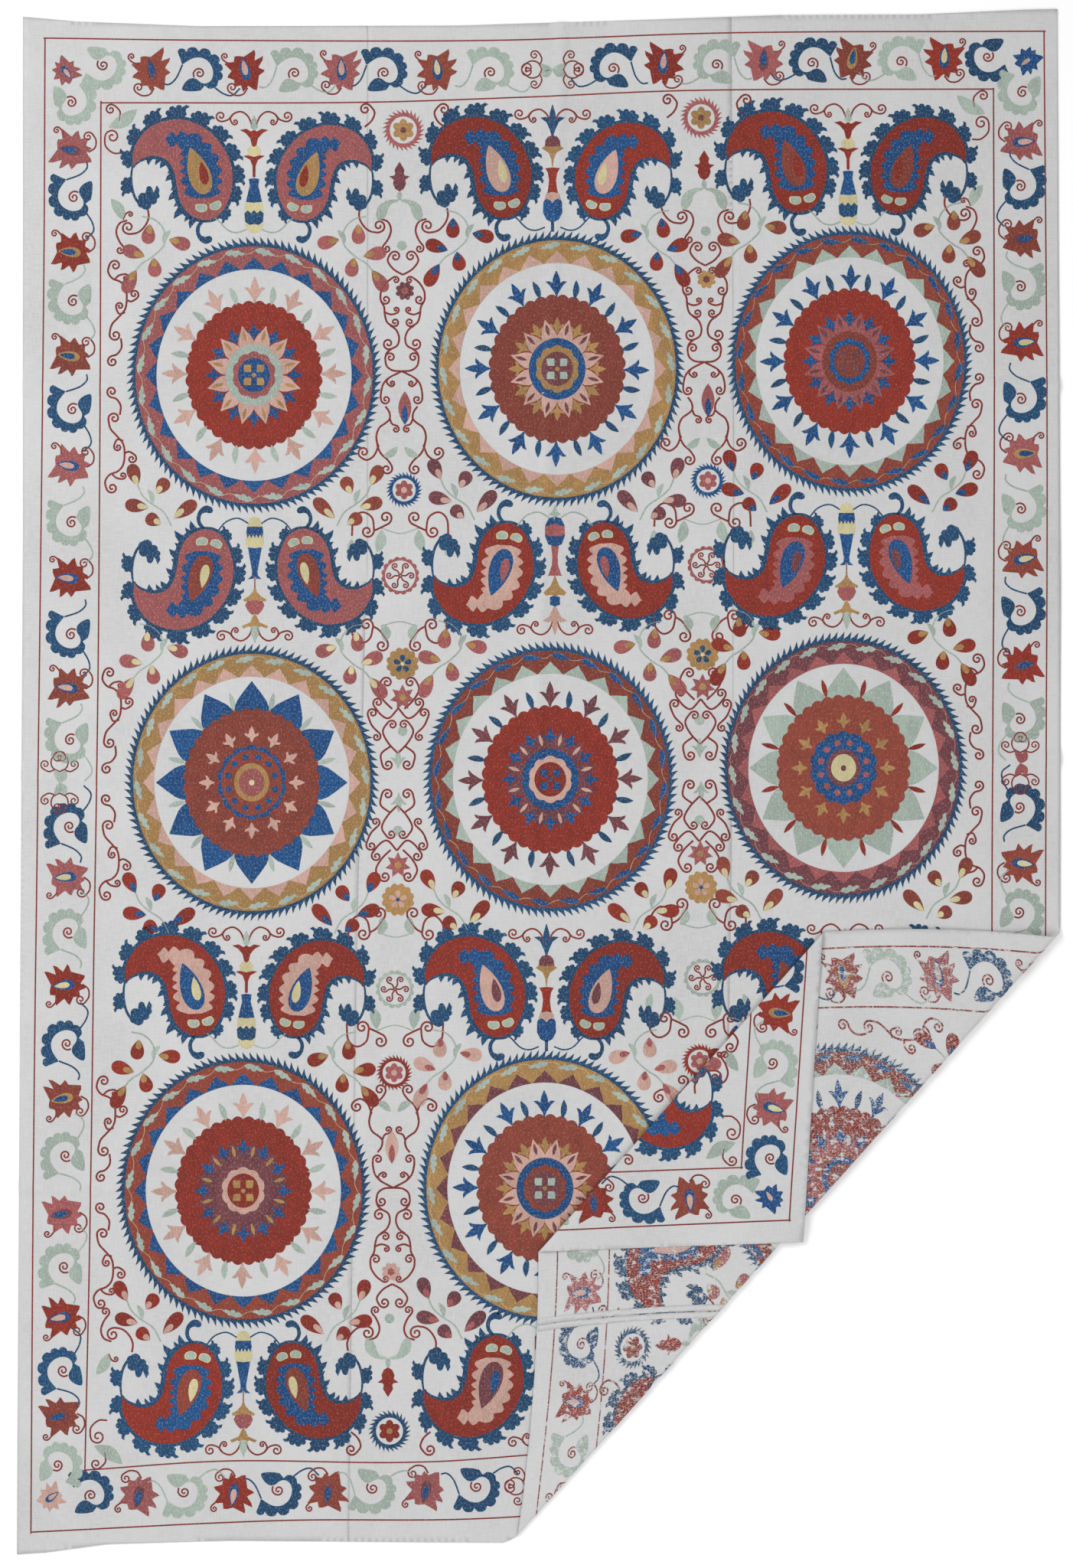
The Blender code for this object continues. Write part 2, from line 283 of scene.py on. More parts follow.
# Shader maths. A Wire stands for one output of a node, and sums on it add Math nodes.
class Wire:
    def __init__(self, tree, socket):
        self.tree, self.socket = tree, socket

    def node(self, kind, settings=(), **values):
        """Adds a node: its settings first, then a value or a Wire for each named socket."""
        made = self.tree.nodes.new(kind)
        for key, value in dict(settings).items():
            setattr(made, key, value)
        for key, value in values.items():
            into = made.inputs[int(key[1:])] if key[0] == "i" and key[1:].isdigit() else made.inputs[key]
            if isinstance(value, Wire):
                self.tree.links.new(value.socket, into)
            else:
                into.default_value = value
        return made

    def math(self, operation, *values):
        """Adds a Math node that works on this Wire or on the given values."""
        values = values or (self,)
        sockets = {f"i{k}": v for k, v in enumerate(values)}
        made = self.node("ShaderNodeMath", {"operation": operation}, **sockets)
        return Wire(self.tree, made.outputs[0])

    def __add__(self, other):
        return self.math("ADD", self, other)

    def __radd__(self, other):
        return self.math("ADD", other, self)

    def __sub__(self, other):
        return self.math("SUBTRACT", self, other)

    def __rsub__(self, other):
        return self.math("SUBTRACT", other, self)

    def __mul__(self, other):
        return self.math("MULTIPLY", self, other)

    def __rmul__(self, other):
        return self.math("MULTIPLY", other, self)

    def clamped(self, low, high):
        """0 where this is under low, 1 where it is over high, and even between."""
        made = self.node("ShaderNodeMapRange", (), i0=self, i1=low, i2=high, i3=0.0, i4=1.0)
        return Wire(self.tree, made.outputs[0])

    def mix(self, low, high):
        """A colour between two, by this factor. Either may be a Wire."""
        made = self.node("ShaderNodeMix", {"data_type": "RGBA"}, i0=self, i6=low, i7=high)
        return Wire(self.tree, made.outputs[2])


def new_material(name):
    """A material with a Principled shader, its tree's first Wire, and the flat cloth's place."""
    material = bpy.data.materials.new(name)
    material.use_nodes = True
    tree = material.node_tree
    shader = tree.nodes["Principled BSDF"]
    place_on_cloth = tree.nodes.new("ShaderNodeUVMap")
    place_on_cloth.uv_map = "Flat"
    return material, shader, Wire(tree, place_on_cloth.outputs[0])


def noise(spot, along_x, along_y, detail=2.0, rough=0.5):
    """Noise with its own number of grains a metre along each of the cloth's directions."""
    sized = spot.node("ShaderNodeVectorMath", {"operation": "MULTIPLY"}, i0=spot, i1=(along_x, along_y, 1.0))
    grain = spot.node(
        "ShaderNodeTexNoise", {"noise_dimensions": "2D"},
        Vector=Wire(spot.tree, sized.outputs[0]), Scale=1.0, Detail=detail, Roughness=rough,
    )
    return Wire(spot.tree, grain.outputs[0])


def join(wire, shader, socket):
    """Feeds a shader's socket."""
    wire.tree.links.new(wire.socket, shader.inputs[socket])


def bump(height, shader, distance, strength):
    """Raises the surface by a height for its shading alone."""
    made = height.node("ShaderNodeBump", (), Height=height, Distance=distance, Strength=strength)
    height.tree.links.new(made.outputs[0], shader.inputs["Normal"])


def linear(red, green, blue):
    """A colour given as it shows on a screen, 0 to 255, in linear light."""
    share = np.array([red, green, blue]) / 255
    low, high = share / 12.92, ((share + 0.055) / 1.055) ** 2.4
    return (*np.where(share <= 0.04045, low, high).tolist(), 1.0)


# The three panels: undyed hand-loomed cotton, a plain weave with slubs, greyed and softly
# creased with age. Each is hemmed on its outer sides and sewn to the next along its selvedges.
PITCH = 0.010
SEAM_GAP = 0.0001
TOP_EDGE = [
    (-0.748, 1.108), (-0.670, 1.101), (-0.492, 1.094), (-0.115, 1.095), (0.173, 1.104),
    (0.350, 1.110), (0.550, 1.111), (0.705, 1.118), (0.751, 1.119),
]
BOTTOM_EDGE = [
    (-0.756, -1.119), (-0.714, -1.116), (-0.626, -1.104), (-0.448, -1.099),
    (-0.049, -1.102), (-0.030, -1.092), (0.378, -1.050), (0.760, -1.010),
]
# Each row: y, x.
LEFT_EDGE = [(-1.119, -0.756), (0.356, -0.7475), (1.119, -0.7475)]
LEFT_SEAM = [(-1.12, -0.276), (-0.250, -0.264), (0.210, -0.252), (0.356, -0.248), (1.12, -0.248)]
RIGHT_SEAM = [
    (-1.12, 0.274), (-0.753, 0.265), (-0.476, 0.273), (-0.143, 0.279), (0.411, 0.283), (1.12, 0.279),
]
RIGHT_EDGE = [(-1.010, 0.760), (-0.217, 0.7555), (0.290, 0.756), (1.119, 0.751)]
# Each row: node, edge on its left, edge on its right, gap on the left, gap on the right.
PANELS = [
    ("left_panel", LEFT_EDGE, LEFT_SEAM, 0, SEAM_GAP / 2),
    ("middle_panel", LEFT_SEAM, RIGHT_SEAM, SEAM_GAP / 2, SEAM_GAP / 2),
    ("right_panel", RIGHT_SEAM, RIGHT_EDGE, SEAM_GAP / 2, 0),
]
COTTON = linear(190, 190, 190)
COTTON_DARK = linear(178, 178, 178)
COTTON_LIGHT = linear(201, 201, 201)


def along(table, at):
    """An edge's second column, read at a value of its first."""
    rows = np.array(table)
    return np.interp(at, rows[:, 0], rows[:, 1])


def panel_outline(left, right, gap_left, gap_right):
    """A panel's closed outline on the flat cloth, counterclockwise, a point every pitch."""
    x0, x1 = along(left, -1.1) + gap_left, along(right, -1.1) - gap_right
    columns = np.linspace(x0, x1, round((x1 - x0) / PITCH))
    low = np.column_stack([columns, along(BOTTOM_EDGE, columns)])
    y = np.arange(low[-1, 1] + PITCH, along(TOP_EDGE, along(right, 1.1)) - PITCH / 2, PITCH)
    far = np.column_stack([along(right, y) - gap_right, y])
    x0, x1 = along(left, 1.1) + gap_left, along(right, 1.1) - gap_right
    columns = np.linspace(x1, x0, round((x1 - x0) / PITCH))
    high = np.column_stack([columns, along(TOP_EDGE, columns)])
    y = np.arange(high[-1, 1] - PITCH, low[0, 1] + PITCH / 2, -PITCH)
    near = np.column_stack([along(left, y) + gap_left, y])
    return np.vstack([low, far, high, near])


def cotton():
    """Off-white cotton: a fine uneven weave, broad soft stains, and faint puckers."""
    material, shader, spot = new_material("cotton")
    stain = noise(spot, 7, 5, 4.0, 0.6).clamped(0.30, 0.70)
    slub = (noise(spot, 700, 60) + noise(spot, 60, 700)) * 0.5
    tone = stain.mix(COTTON_DARK, COTTON)
    tone = slub.clamped(0.28, 0.86).mix(tone, COTTON_LIGHT)
    join(tone, shader, "Base Color")
    pucker = noise(spot, 26, 22, 3.0, 0.55)
    weave = noise(spot, 1500, 260) + noise(spot, 260, 1500)
    bump(pucker * 0.9 + weave * 0.05, shader, 0.003, 0.55)
    shader.inputs["Roughness"].default_value = 0.92
    shader.inputs["Specular IOR Level"].default_value = 0.2
    return material


COTTON_CLOTH = cotton()
for node, left, right, gap_left, gap_right in PANELS:
    outline = panel_outline(left, right, gap_left, gap_right)
    flat, faces = triangulate([outline], PITCH)
    count = len(flat)
    sides = rim(faces, count)
    walls = np.concatenate([
        np.column_stack([sides[:, 0] + count, sides[:, 1] + count, sides[:, 1]]),
        np.column_stack([sides[:, 0] + count, sides[:, 1], sides[:, 0]]),
    ])
    spots = np.vstack([lay(flat, CLOTH), lay(flat, 0)])
    shell = np.concatenate([faces, faces[:, ::-1] + count, walls])
    piece = mesh_piece("cloth_" + node, spots, np.vstack([flat, flat]), shell)
    piece.data.materials.append(COTTON_CLOTH)
    x, y = outline.T
    area = abs((x * np.roll(y, -1) - y * np.roll(x, -1)).sum()) / 2
    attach(piece, "root")
    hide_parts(node)

# The seam allowances: on the reverse, the two panels' edges pressed apart along each seam. Each
# strip lies on the cloth's underside, over the ends of the stitches.
ALLOWANCE = 0.0088
ALLOWANCE_GAP = 0.0008
ALLOWANCE_RISE, ALLOWANCE_FOOT = -0.0009, -0.00002
ALLOWANCE_END = 0.001
# Each row: node, its seam, and the side of the seam that it lies on.
ALLOWANCES = [
    ("left_panel", LEFT_SEAM, -1), ("middle_panel", LEFT_SEAM, 1),
    ("middle_panel", RIGHT_SEAM, -1), ("right_panel", RIGHT_SEAM, 1),
]
hems = {}
for number, (node, seam, side) in enumerate(ALLOWANCES, 1):
    bottom, top = along(BOTTOM_EDGE, along(seam, -1.09)), along(TOP_EDGE, along(seam, 1.09))
    y = np.arange(bottom + ALLOWANCE_END, top - ALLOWANCE_END, PITCH)
    x = along(seam, y)
    outer = x + side * (ALLOWANCE + 0.0003 * np.sin(y * 37))
    outline = np.vstack([np.column_stack([x + side * ALLOWANCE_GAP, y]), np.column_stack([outer, y])[::-1]])
    flat, faces = triangulate([outline], PITCH)
    sides = rim(faces, len(flat))
    low = sides + len(flat)
    walls = np.concatenate([
        np.column_stack([sides[:, 0], sides[:, 1], low[:, 1]]),
        np.column_stack([sides[:, 0], low[:, 1], low[:, 0]]),
    ])
    spots = np.vstack([lay(flat, ALLOWANCE_RISE), lay(flat, ALLOWANCE_FOOT)])
    shell = np.concatenate([faces[:, ::-1], walls])
    piece = mesh_piece(f"allowance_{number}", spots, np.vstack([flat, flat]), shell)
    piece.data.materials.append(COTTON_CLOTH)
    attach(piece, "root")
    hems.setdefault(node, []).append(piece)

# Needlework. Motifs are drawn with the photograph's pixels as the unit, one pixel being 1.109 mm
# of cloth. Filled shapes are couched silk, a little thicker the more layers lie on each other,
# and lines are chain stitch. Each thread's shapes are gathered here and laid at the end.
PIXEL = 0.001109
MIDDLE_X, MIDDLE_Y = 704, 1021
SILK = 0.00030
SILK_LAYER = 0.00010
SILK_PITCH = 0.012
CHAIN = 0.00055
CHAIN_STEP, CHAIN_STEP_IN_FOLDS = 0.0034, 0.0012
work = {}
luck = np.random.default_rng(7)


def put(shape, x, y, turn=0.0, size=1.0, flip=1):
    """A shape drawn round its own origin, y up, set on the flat cloth at a pixel, in metres."""
    a = math.radians(turn)
    right, up = np.atleast_2d(shape)[:, 0] * flip * size, np.atleast_2d(shape)[:, 1] * size
    across = right * math.cos(a) - up * math.sin(a) + x - MIDDLE_X
    rise = right * math.sin(a) + up * math.cos(a) + MIDDLE_Y - y
    return np.column_stack([across, rise]) * PIXEL


def fill(thread, *loops, level=0, shade=None):
    """Couches one thread over closed outlines. A loop inside another is a hole."""
    flat, faces = triangulate(loops, SILK_PITCH)
    height = np.full(len(flat), SILK + SILK_LAYER * level)
    shade = luck.random() if shade is None else shade
    work.setdefault(thread, []).append((flat, faces, height, shade, True))


def stitch(thread, path, width=2.0):
    """Chain stitch along a path on the flat cloth: a low ridge, finer where the cloth rolls."""
    _, past = split(path, FOLD_1)
    fine = ((past > -0.012) & (past < 0.030)).any() or (np.abs(split(path, FOLD_2_FLAT)[1]) < 0.02).any()
    length = np.concatenate([[0], np.cumsum(np.linalg.norm(np.diff(path, axis=0), axis=1))])
    step = CHAIN_STEP_IN_FOLDS if fine else CHAIN_STEP
    at = np.linspace(0, length[-1], max(3, math.ceil(length[-1] / step) + 1))
    path = np.column_stack([np.interp(at, length, path[:, k]) for k in (0, 1)])
    run = np.gradient(path, axis=0)
    run /= np.maximum(np.linalg.norm(run, axis=1, keepdims=True), 1e-9)
    aside = np.column_stack([-run[:, 1], run[:, 0]]) * width * PIXEL / 2
    flat = np.stack([path - aside, path, path + aside], axis=1).reshape(-1, 2)
    height = np.tile([0.00004, CHAIN, 0.00004], len(path))
    k = (np.arange(len(path) - 1)[:, None] * 3 + np.arange(2)).ravel()
    faces = np.concatenate([np.column_stack([k, k + 1, k + 4]), np.column_stack([k, k + 4, k + 3])])
    work.setdefault(thread, []).append((flat, faces[:, ::-1], height, luck.random(), False))


def smooth(points, closed=False, steps=5):
    """A Catmull-Rom curve through points."""
    p = np.array(points, float)
    ends = (p[-1], p[0], p[1]) if closed else (2 * p[0] - p[1], 2 * p[-1] - p[-2])
    p = np.vstack([ends[0], p, *ends[1:]])
    a, b, c, d = (p[k : len(p) - 3 + k, None] for k in range(4))
    t = np.linspace(0, 1, steps, endpoint=False)[None, :, None]
    curve = b + 0.5 * t * (c - a + t * (2 * a - 5 * b + 4 * c - d + t * (3 * b - a - 3 * c + d)))
    return curve.reshape(-1, 2) if closed else np.vstack([curve.reshape(-1, 2), p[-2]])


def circle(radius, count=24, high=None):
    """A round or oval outline."""
    a = np.linspace(0, math.tau, count, endpoint=False)
    return np.column_stack([radius * np.cos(a), (high or radius) * np.sin(a)])


def scallops(radius, lobes, depth, steps=5):
    """A round outline whose edge is a row of lobes, each a half wave."""
    a = np.linspace(0, math.tau, lobes * steps, endpoint=False)
    r = 1 - depth + depth * np.abs(np.sin(a * lobes / 2))
    return np.column_stack([radius * r * np.cos(a), radius * r * np.sin(a)])


def saw(count, inner, outer, lean):
    """A round outline of saw teeth that lean to the left round it or, with lean -1, the other way."""
    a = (np.arange(count)[:, None] + np.array([0.0, 0.62, 1.15])) * lean * math.tau / count
    r = np.broadcast_to([inner, inner * 0.6 + outer * 0.4, outer], a.shape)
    return np.column_stack([(r * np.cos(a)).ravel(), (r * np.sin(a)).ravel()])


def band(path, profile, left=(0, 0.0), right=(0, 0.0)):
    """The outline of a band along a path. Rows of its profile give a place from 0 to 1 and half
    the width there, and each side can have a number of lobes of some depth."""
    run = np.gradient(path, axis=0)
    run /= np.maximum(np.linalg.norm(run, axis=1, keepdims=True), 1e-9)
    side = np.column_stack([-run[:, 1], run[:, 0]])
    s = np.concatenate([[0], np.cumsum(np.linalg.norm(np.diff(path, axis=0), axis=1))])
    s /= s[-1]
    half = np.interp(s, *np.array(profile, float).T)
    fade = np.minimum(1, half / 3)
    reach = [half + depth * fade * np.abs(np.sin(math.pi * lobes * s)) for lobes, depth in (left, right)]
    return np.vstack([path + side * reach[0][:, None], (path - side * reach[1][:, None])[::-1]])


def leaf(length, width, bow=0.0):
    """A leaf from the origin upwards, pointed at both ends, its middle line bowed sideways."""
    t = np.linspace(0, 1, 9)
    wave = np.sin(math.pi * t)
    half = width / 2 * wave**0.85
    right = np.column_stack([bow * wave + half, length * t])
    return np.vstack([right, np.column_stack([bow * wave - half, length * t])[-2:0:-1]])


def lobed(valleys, height, steps=6):
    """A row of round lobes through points: between each two the line swells to its left by a
    share of their distance, height times the square root of 4 t (1 - t), t from 0 to 1."""
    p = np.array(valleys, float)
    run = np.diff(p, axis=0)[:, None]
    side = np.stack([-run[..., 1], run[..., 0]], axis=-1)
    t = np.linspace(0, 1, steps, endpoint=False)[None, :, None]
    bulge = side * height * np.sqrt(4 * t * (1 - t))
    return np.vstack([(p[:-1, None] + run * t + bulge).reshape(-1, 2), p[-1:]])


def moved(shape, x, y, turn):
    """A shape turned and moved within a motif, y up."""
    a = math.radians(turn)
    right, up = shape[:, 0], shape[:, 1]
    return np.column_stack([
        right * math.cos(a) - up * math.sin(a) + x, right * math.sin(a) + up * math.cos(a) + y,
    ])


def drop(length, width):
    """A drop with its point at the origin and its round end upwards."""
    a = np.linspace(0, math.pi, 11)
    y = length * (1 - np.cos(a)) / 2
    half = width / 2 * np.sin(a) * np.sin(a / 2) ** 0.75 * 1.12
    return np.vstack([np.column_stack([half, y]), np.column_stack([-half, y])[-2:0:-1]])


def both(half):
    """A shape from its right half, mirrored."""
    half = np.array(half, float)
    return np.vstack([half, (half * (-1, 1))[::-1]])


# The border: a vine of lotus flowers and lobed leaf scrolls between two chain-stitched lines that
# run round the cloth, with small red spirals. Each row: x, y along a line.
OUTER_LINES = [
    [(59, 50), (57, 400), (50, 1000), (44, 1500), (40.5, 2003)],
    [(57, 50), (300, 53), (640, 53), (960, 43), (1366, 41)],
    [(1364, 40), (1368, 600), (1366, 1217), (1368, 1570), (1369, 1906)],
    [(40, 2001), (360, 1986), (672, 1981), (1040, 1941), (1371, 1904)],
]
INNER_LINES = [
    [(132, 132), (131, 500), (128, 900), (122.7, 1250), (117.7, 1600), (111, 1922)],
    [(131, 134.5), (460, 134), (690, 127), (920, 118), (1298, 116.5)],
    [(1298, 115), (1299, 600), (1296, 1217), (1300, 1570), (1302, 1842)],
    [(110, 1920), (300, 1908), (520, 1910), (680, 1901), (1040, 1867), (1304, 1840)],
]
for rows in OUTER_LINES + INNER_LINES:
    stitch("line", put(smooth(np.array(rows) * (1, -1), steps=12), 0, 0), 1.9)

# Each row: place along the side, what stands there (flower or scroll), thread.
TOP_VINE = [
    (196, "flower", "brick"), (262, "scroll", "teal"), (318, "flower", "red"), (386, "scroll", "sage"),
    (444, "flower", "rose"), (503, "scroll", "teal"), (569, "flower", "brick"), (642, "scroll", "sage"),
    (800, "scroll", "teal"), (869, "flower", "red"), (935, "scroll", "sage"), (1000, "flower", "rose"),
    (1060, "scroll", "teal"), (1116, "flower", "brick"), (1176, "scroll", "sage"), (1236, "flower", "red"),
]
LEFT_VINE = [
    (194, "flower", "rose"), (259, "scroll", "teal"), (327, "flower", "red"), (395, "scroll", "sage"),
    (463, "flower", "brick"), (536, "scroll", "teal"), (606, "flower", "rose"), (684, "scroll", "sage"),
    (753, "flower", "red"), (830, "scroll", "teal"), (896, "flower", "brick"), (968, "scroll", "sage"),
    (1078, "scroll", "teal"), (1148, "flower", "rose"), (1216, "scroll", "sage"), (1289, "flower", "red"),
    (1362, "scroll", "teal"), (1437, "flower", "brick"), (1508, "scroll", "sage"), (1588, "flower", "rose"),
    (1653, "scroll", "sage"), (1723, "flower", "red"), (1789, "scroll", "teal"), (1852, "flower", "brick"),
]
RIGHT_VINE = [
    (183, "flower", "rose"), (245, "scroll", "teal"), (310, "flower", "brick"), (376, "scroll", "sage"),
    (445, "flower", "red"), (523, "scroll", "teal"), (590, "flower", "rose"), (666, "scroll", "sage"),
    (728, "flower", "brick"), (800, "scroll", "teal"), (867, "flower", "red"), (941, "scroll", "sage"),
    (1053, "scroll", "teal"), (1130, "flower", "brick"), (1190, "scroll", "sage"), (1255, "flower", "red"),
    (1320, "scroll", "teal"), (1388, "flower", "rose"), (1450, "scroll", "sage"), (1512, "flower", "brick"),
    (1575, "scroll", "teal"), (1638, "flower", "red"), (1700, "scroll", "sage"), (1762, "flower", "rose"),
]
BOTTOM_VINE = [
    (179, "flower", "rose"), (242, "scroll", "sage"), (303, "flower", "red"),
    (365, "scroll", "teal"), (426, "flower", "brick"), (488, "scroll", "sage"), (554, "flower", "rose"),
    (624, "scroll", "teal"), (776, "scroll", "sage"), (845, "flower", "red"), (915, "scroll", "teal"),
    (985, "flower", "rose"), (1050, "scroll", "sage"), (1115, "flower", "red"), (1175, "scroll", "teal"),
    (1240, "flower", "brick"),
]
# The vine's middle on each side. Each row: place along the side, the other coordinate.
TOP_MIDDLE = [(60, 94), (640, 92), (960, 81), (1366, 75)]
LEFT_MIDDLE = [(50, 95), (1000, 89), (2000, 77)]
RIGHT_MIDDLE = [(40, 1335), (600, 1337), (1217, 1334), (1900, 1337)]
BOTTOM_MIDDLE = [(40, 1955), (640, 1944), (1040, 1905), (1371, 1872)]
# Each side of the border: its rows, its middle, whether it runs across, where its two halves
# meet, and for each half the turn and the flip of its motifs.
SIDES = [
    (TOP_VINE, TOP_MIDDLE, True, 720, (90, -1), (-90, 1)),
    (BOTTOM_VINE, BOTTOM_MIDDLE, True, 700, (90, 1), (-90, -1)),
    (LEFT_VINE, LEFT_MIDDLE, False, 1020, (0, 1), (180, -1)),
    (RIGHT_VINE, RIGHT_MIDDLE, False, 1000, (0, -1), (180, 1)),
]
# A lotus on its foot. Each row, clockwise from the top: a petal's angle and reach, and the angle
# and reach of the valley after it.
LOTUS = [
    (34, 33, 70, 22), (86, 29, 100, 21), (121, 33, 129, 21), (147, 35, 174, 19.5), (-152, 23, -138, 18),
    (-117, 28, -94, 16), (-72, 25, -50, 17.5), (-30, 25, -14, 19.5), (0, 27, 14, 21),
]
# Each row: the heart's two threads, taken in turn.
LOTUS_HEARTS = [("blue", "pink"), ("blue", "pale"), ("gold", "blue"), ("blue", "pink"), ("plum", "blue")]
# The leaf scroll: the valleys between its lobes from its pointed end round its outer side, then its
# small last leaf and its inner side back again.
SCROLL_LOBES = [
    (-25, 33), (-24.5, 21), (-26.5, 4), (-23, -13), (-12, -24), (-1, -27), (11, -25), (19, -7),
]
SCROLL_INNER = [
    (26, -2), (28, 9), (27, 23), (17, 20), (10.7, 13), (10.7, 5.5), (15.5, -2), (16, -9), (11, -15.5),
    (2, -17.5), (-7, -15), (-14.5, -9), (-18.5, 0), (-17.5, 10), (-13, 18), (-8, 25), (-12, 27),
]


# Each row: a red curl beside a lotus and its radius.
LOTUS_CURLS = [([(4, 22), (-2, 30), (-12, 31), (-20, 26)], 7), ([(-13, -11), (-20, -12), (-26, -17)], 5)]
# The stems that join a scroll to the motifs before and after it.
SCROLL_LINKS = [[(20, -20), (27, -31), (29, -43), (19, -53)], [(19, 48), (20, 40), (11, 31), (-7, 24)]]


def lotus(x, y, turn, thread, size=1.0, flip=1):
    """A ragged star of broad curved petals, and a heart of two drops that stand on its foot."""
    outline = []
    for k, (angle, reach, valley, low) in enumerate(LOTUS):
        before, low_before = LOTUS[k - 1][2:]
        angle, reach = angle + luck.uniform(-4, 4), reach * luck.uniform(0.92, 1.08)
        gap, gap_before = (valley - angle) % 360, (angle - before) % 360
        rows = (
            (angle - gap_before * 0.62, low_before + (reach - low_before) * 0.30),
            (angle - gap_before * 0.34, low_before + (reach - low_before) * 0.70), (angle, reach),
            (angle + gap * 0.22, low + (reach - low) * 0.62), (valley, low),
        )
        outline += [(r * math.sin(math.radians(a)), r * math.cos(math.radians(a))) for a, r in rows]
    fill(thread, put(outline, x, y, turn, size, flip))
    oval, seed = LOTUS_HEARTS[int(luck.integers(5))]
    fill(oval, put(moved(drop(31, 15), 0, -18, -8), x, y, turn, size, flip), level=1)
    fill(seed, put(moved(drop(21, 9), 0.5, -15, -8), x, y, turn, size, flip), level=2)


def tendril(points, end=(0, 0), start=(0, 0)):
    """A smooth line whose ends can wind into spirals: each has a radius, and a hand that is 1
    where it winds to the left and -1 to the right."""
    path = smooth(points, steps=5)
    for radius, hand in (end, start):
        if radius:
            run = (path[-1] - path[-2]) / np.linalg.norm(path[-1] - path[-2])
            aside = np.array([-run[1], run[0]]) * hand
            t = np.linspace(0, 1, 18)[1:, None]
            a = math.atan2(-aside[1], -aside[0]) + hand * math.tau * 1.35 * t
            r = radius * (1 - 0.78 * t**0.9)
            path = np.vstack([path, path[-1] + aside * radius + r * np.hstack([np.cos(a), np.sin(a)])])
        path = path[::-1]
    return path


def leaf_scroll(x, y, turn, thread, flip=1, size=1.0, level=0):
    """A leaf with round lobes that bends nearly to a ring, and a red spiral inside."""
    outline = np.vstack([lobed(SCROLL_LOBES, -0.38), smooth(SCROLL_INNER, steps=3)])
    fill(thread, put(outline, x, y, turn, size, flip), level=level)
    stitch("line", put(tendril([(9, 8), (4, 9.5), (0, 8)], (7.5, 1)), x, y, turn, size, flip), 2.3)


for rows, middle, across, centre, first_half, second_half in SIDES:
    for k, (place_on, kind, thread) in enumerate(rows):
        other = along(middle, place_on)
        x, y = (place_on, other) if across else (other, place_on)
        turn, flip = first_half if place_on < centre else second_half
        turn += luck.uniform(-6, 6)
        if kind == "flower":
            lotus(x, y, turn - 90 * flip, thread, 0.96, flip)
            for curl, radius in LOTUS_CURLS:
                stitch("line", put(tendril(curl, (radius, 1)), x, y, turn - 90 * flip, flip=flip), 2.2)
        else:
            leaf_scroll(x, y, turn, thread, flip, 0.96)
            for link in SCROLL_LINKS:
                stitch(thread, put(smooth(link), x, y, turn, flip=flip), 2.2)

# The corners: a small flower between two leaf scrolls. Each row: x, y, thread, then for each of
# the two scrolls its x, y, turn, flip and thread.
CORNERS = [
    (85, 95, 45, "rose", (136, 88, 90, 1, "sage"), (96, 135, 0, -1, "sage")),
    (1341, 78, -45, "blue", (1289, 77, -90, -1, "teal"), (1333, 122, 0, 1, "sage")),
    (68, 1957, 135, "pink", (120, 1950, 90, -1, "teal"), (78, 1912, 180, 1, "sage")),
    (1344, 1876, -135, "blue", (1296, 1880, -90, 1, "sage"), (1336, 1824, 180, -1, "teal")),
]
for x, y, turn, thread, *pair in CORNERS:
    lotus(x, y, turn, thread, 0.66)
    for level, (scroll_x, scroll_y, scroll_turn, flip, leaf_thread) in enumerate(pair):
        leaf_scroll(scroll_x, scroll_y, scroll_turn, leaf_thread, flip, 0.94, level)

# Inside each corner of the inner line: two sage leaves and two red spirals, drawn right and up from
# the corner at the top left. Each row: x, y, turn, flip.
for x, y, turn, flip in ((131, 134, 0, 1), (1298, 116, 0, -1), (112, 1921, 180, -1), (1303, 1841, 180, 1)):
    fill("sage", put(moved(leaf(44, 17, 3), 11, -33, -57), x, y, turn, flip=flip))
    fill("sage", put(moved(leaf(33, 14, 2), 31, -154, 31), x, y, turn, flip=flip))
    for curl, radius, hand in (
        ([(25, -24), (26, -12), (19, -4)], 7.5, 1), ([(28, -66), (17, -66), (7, -57), (6, -45)], 10, -1),
        ([(30, -153), (33, -146), (37, -143)], 4, -1),
    ):
        stitch("line", put(tendril(curl, (radius, hand)), x, y, turn, flip=flip), 2.3)

# The middle of each side holds red spirals round two pairs of leaves. Each row: x, y, turn, thread.
SIDE_CENTRES = [
    (722, 91, 0, "sage"), (700, 1941, 0, "sage"), (78, 1022, 90, "sage"), (1333, 997, 90, "rose"),
]
for x, y, turn, thread in SIDE_CENTRES:
    for flip in (1, -1):
        for up in (1, -1):
            branch = np.array([(14, 0), (19, 9), (29, 11), (38, 5)]) * (1, up)
            stitch("line", put(tendril(branch, (8.5, -up)), x, y, turn, flip=flip), 2.0)
            sprig = np.array([(17, 5), (14, 14), (18, 22)]) * (1, up)
            stitch("line", put(tendril(sprig, (6.5, -up)), x, y, turn, flip=flip), 2.0)
            fill(thread, put(leaf(19, 9, 2), x, y, turn - flip * (90 + 22 * up), flip=flip))

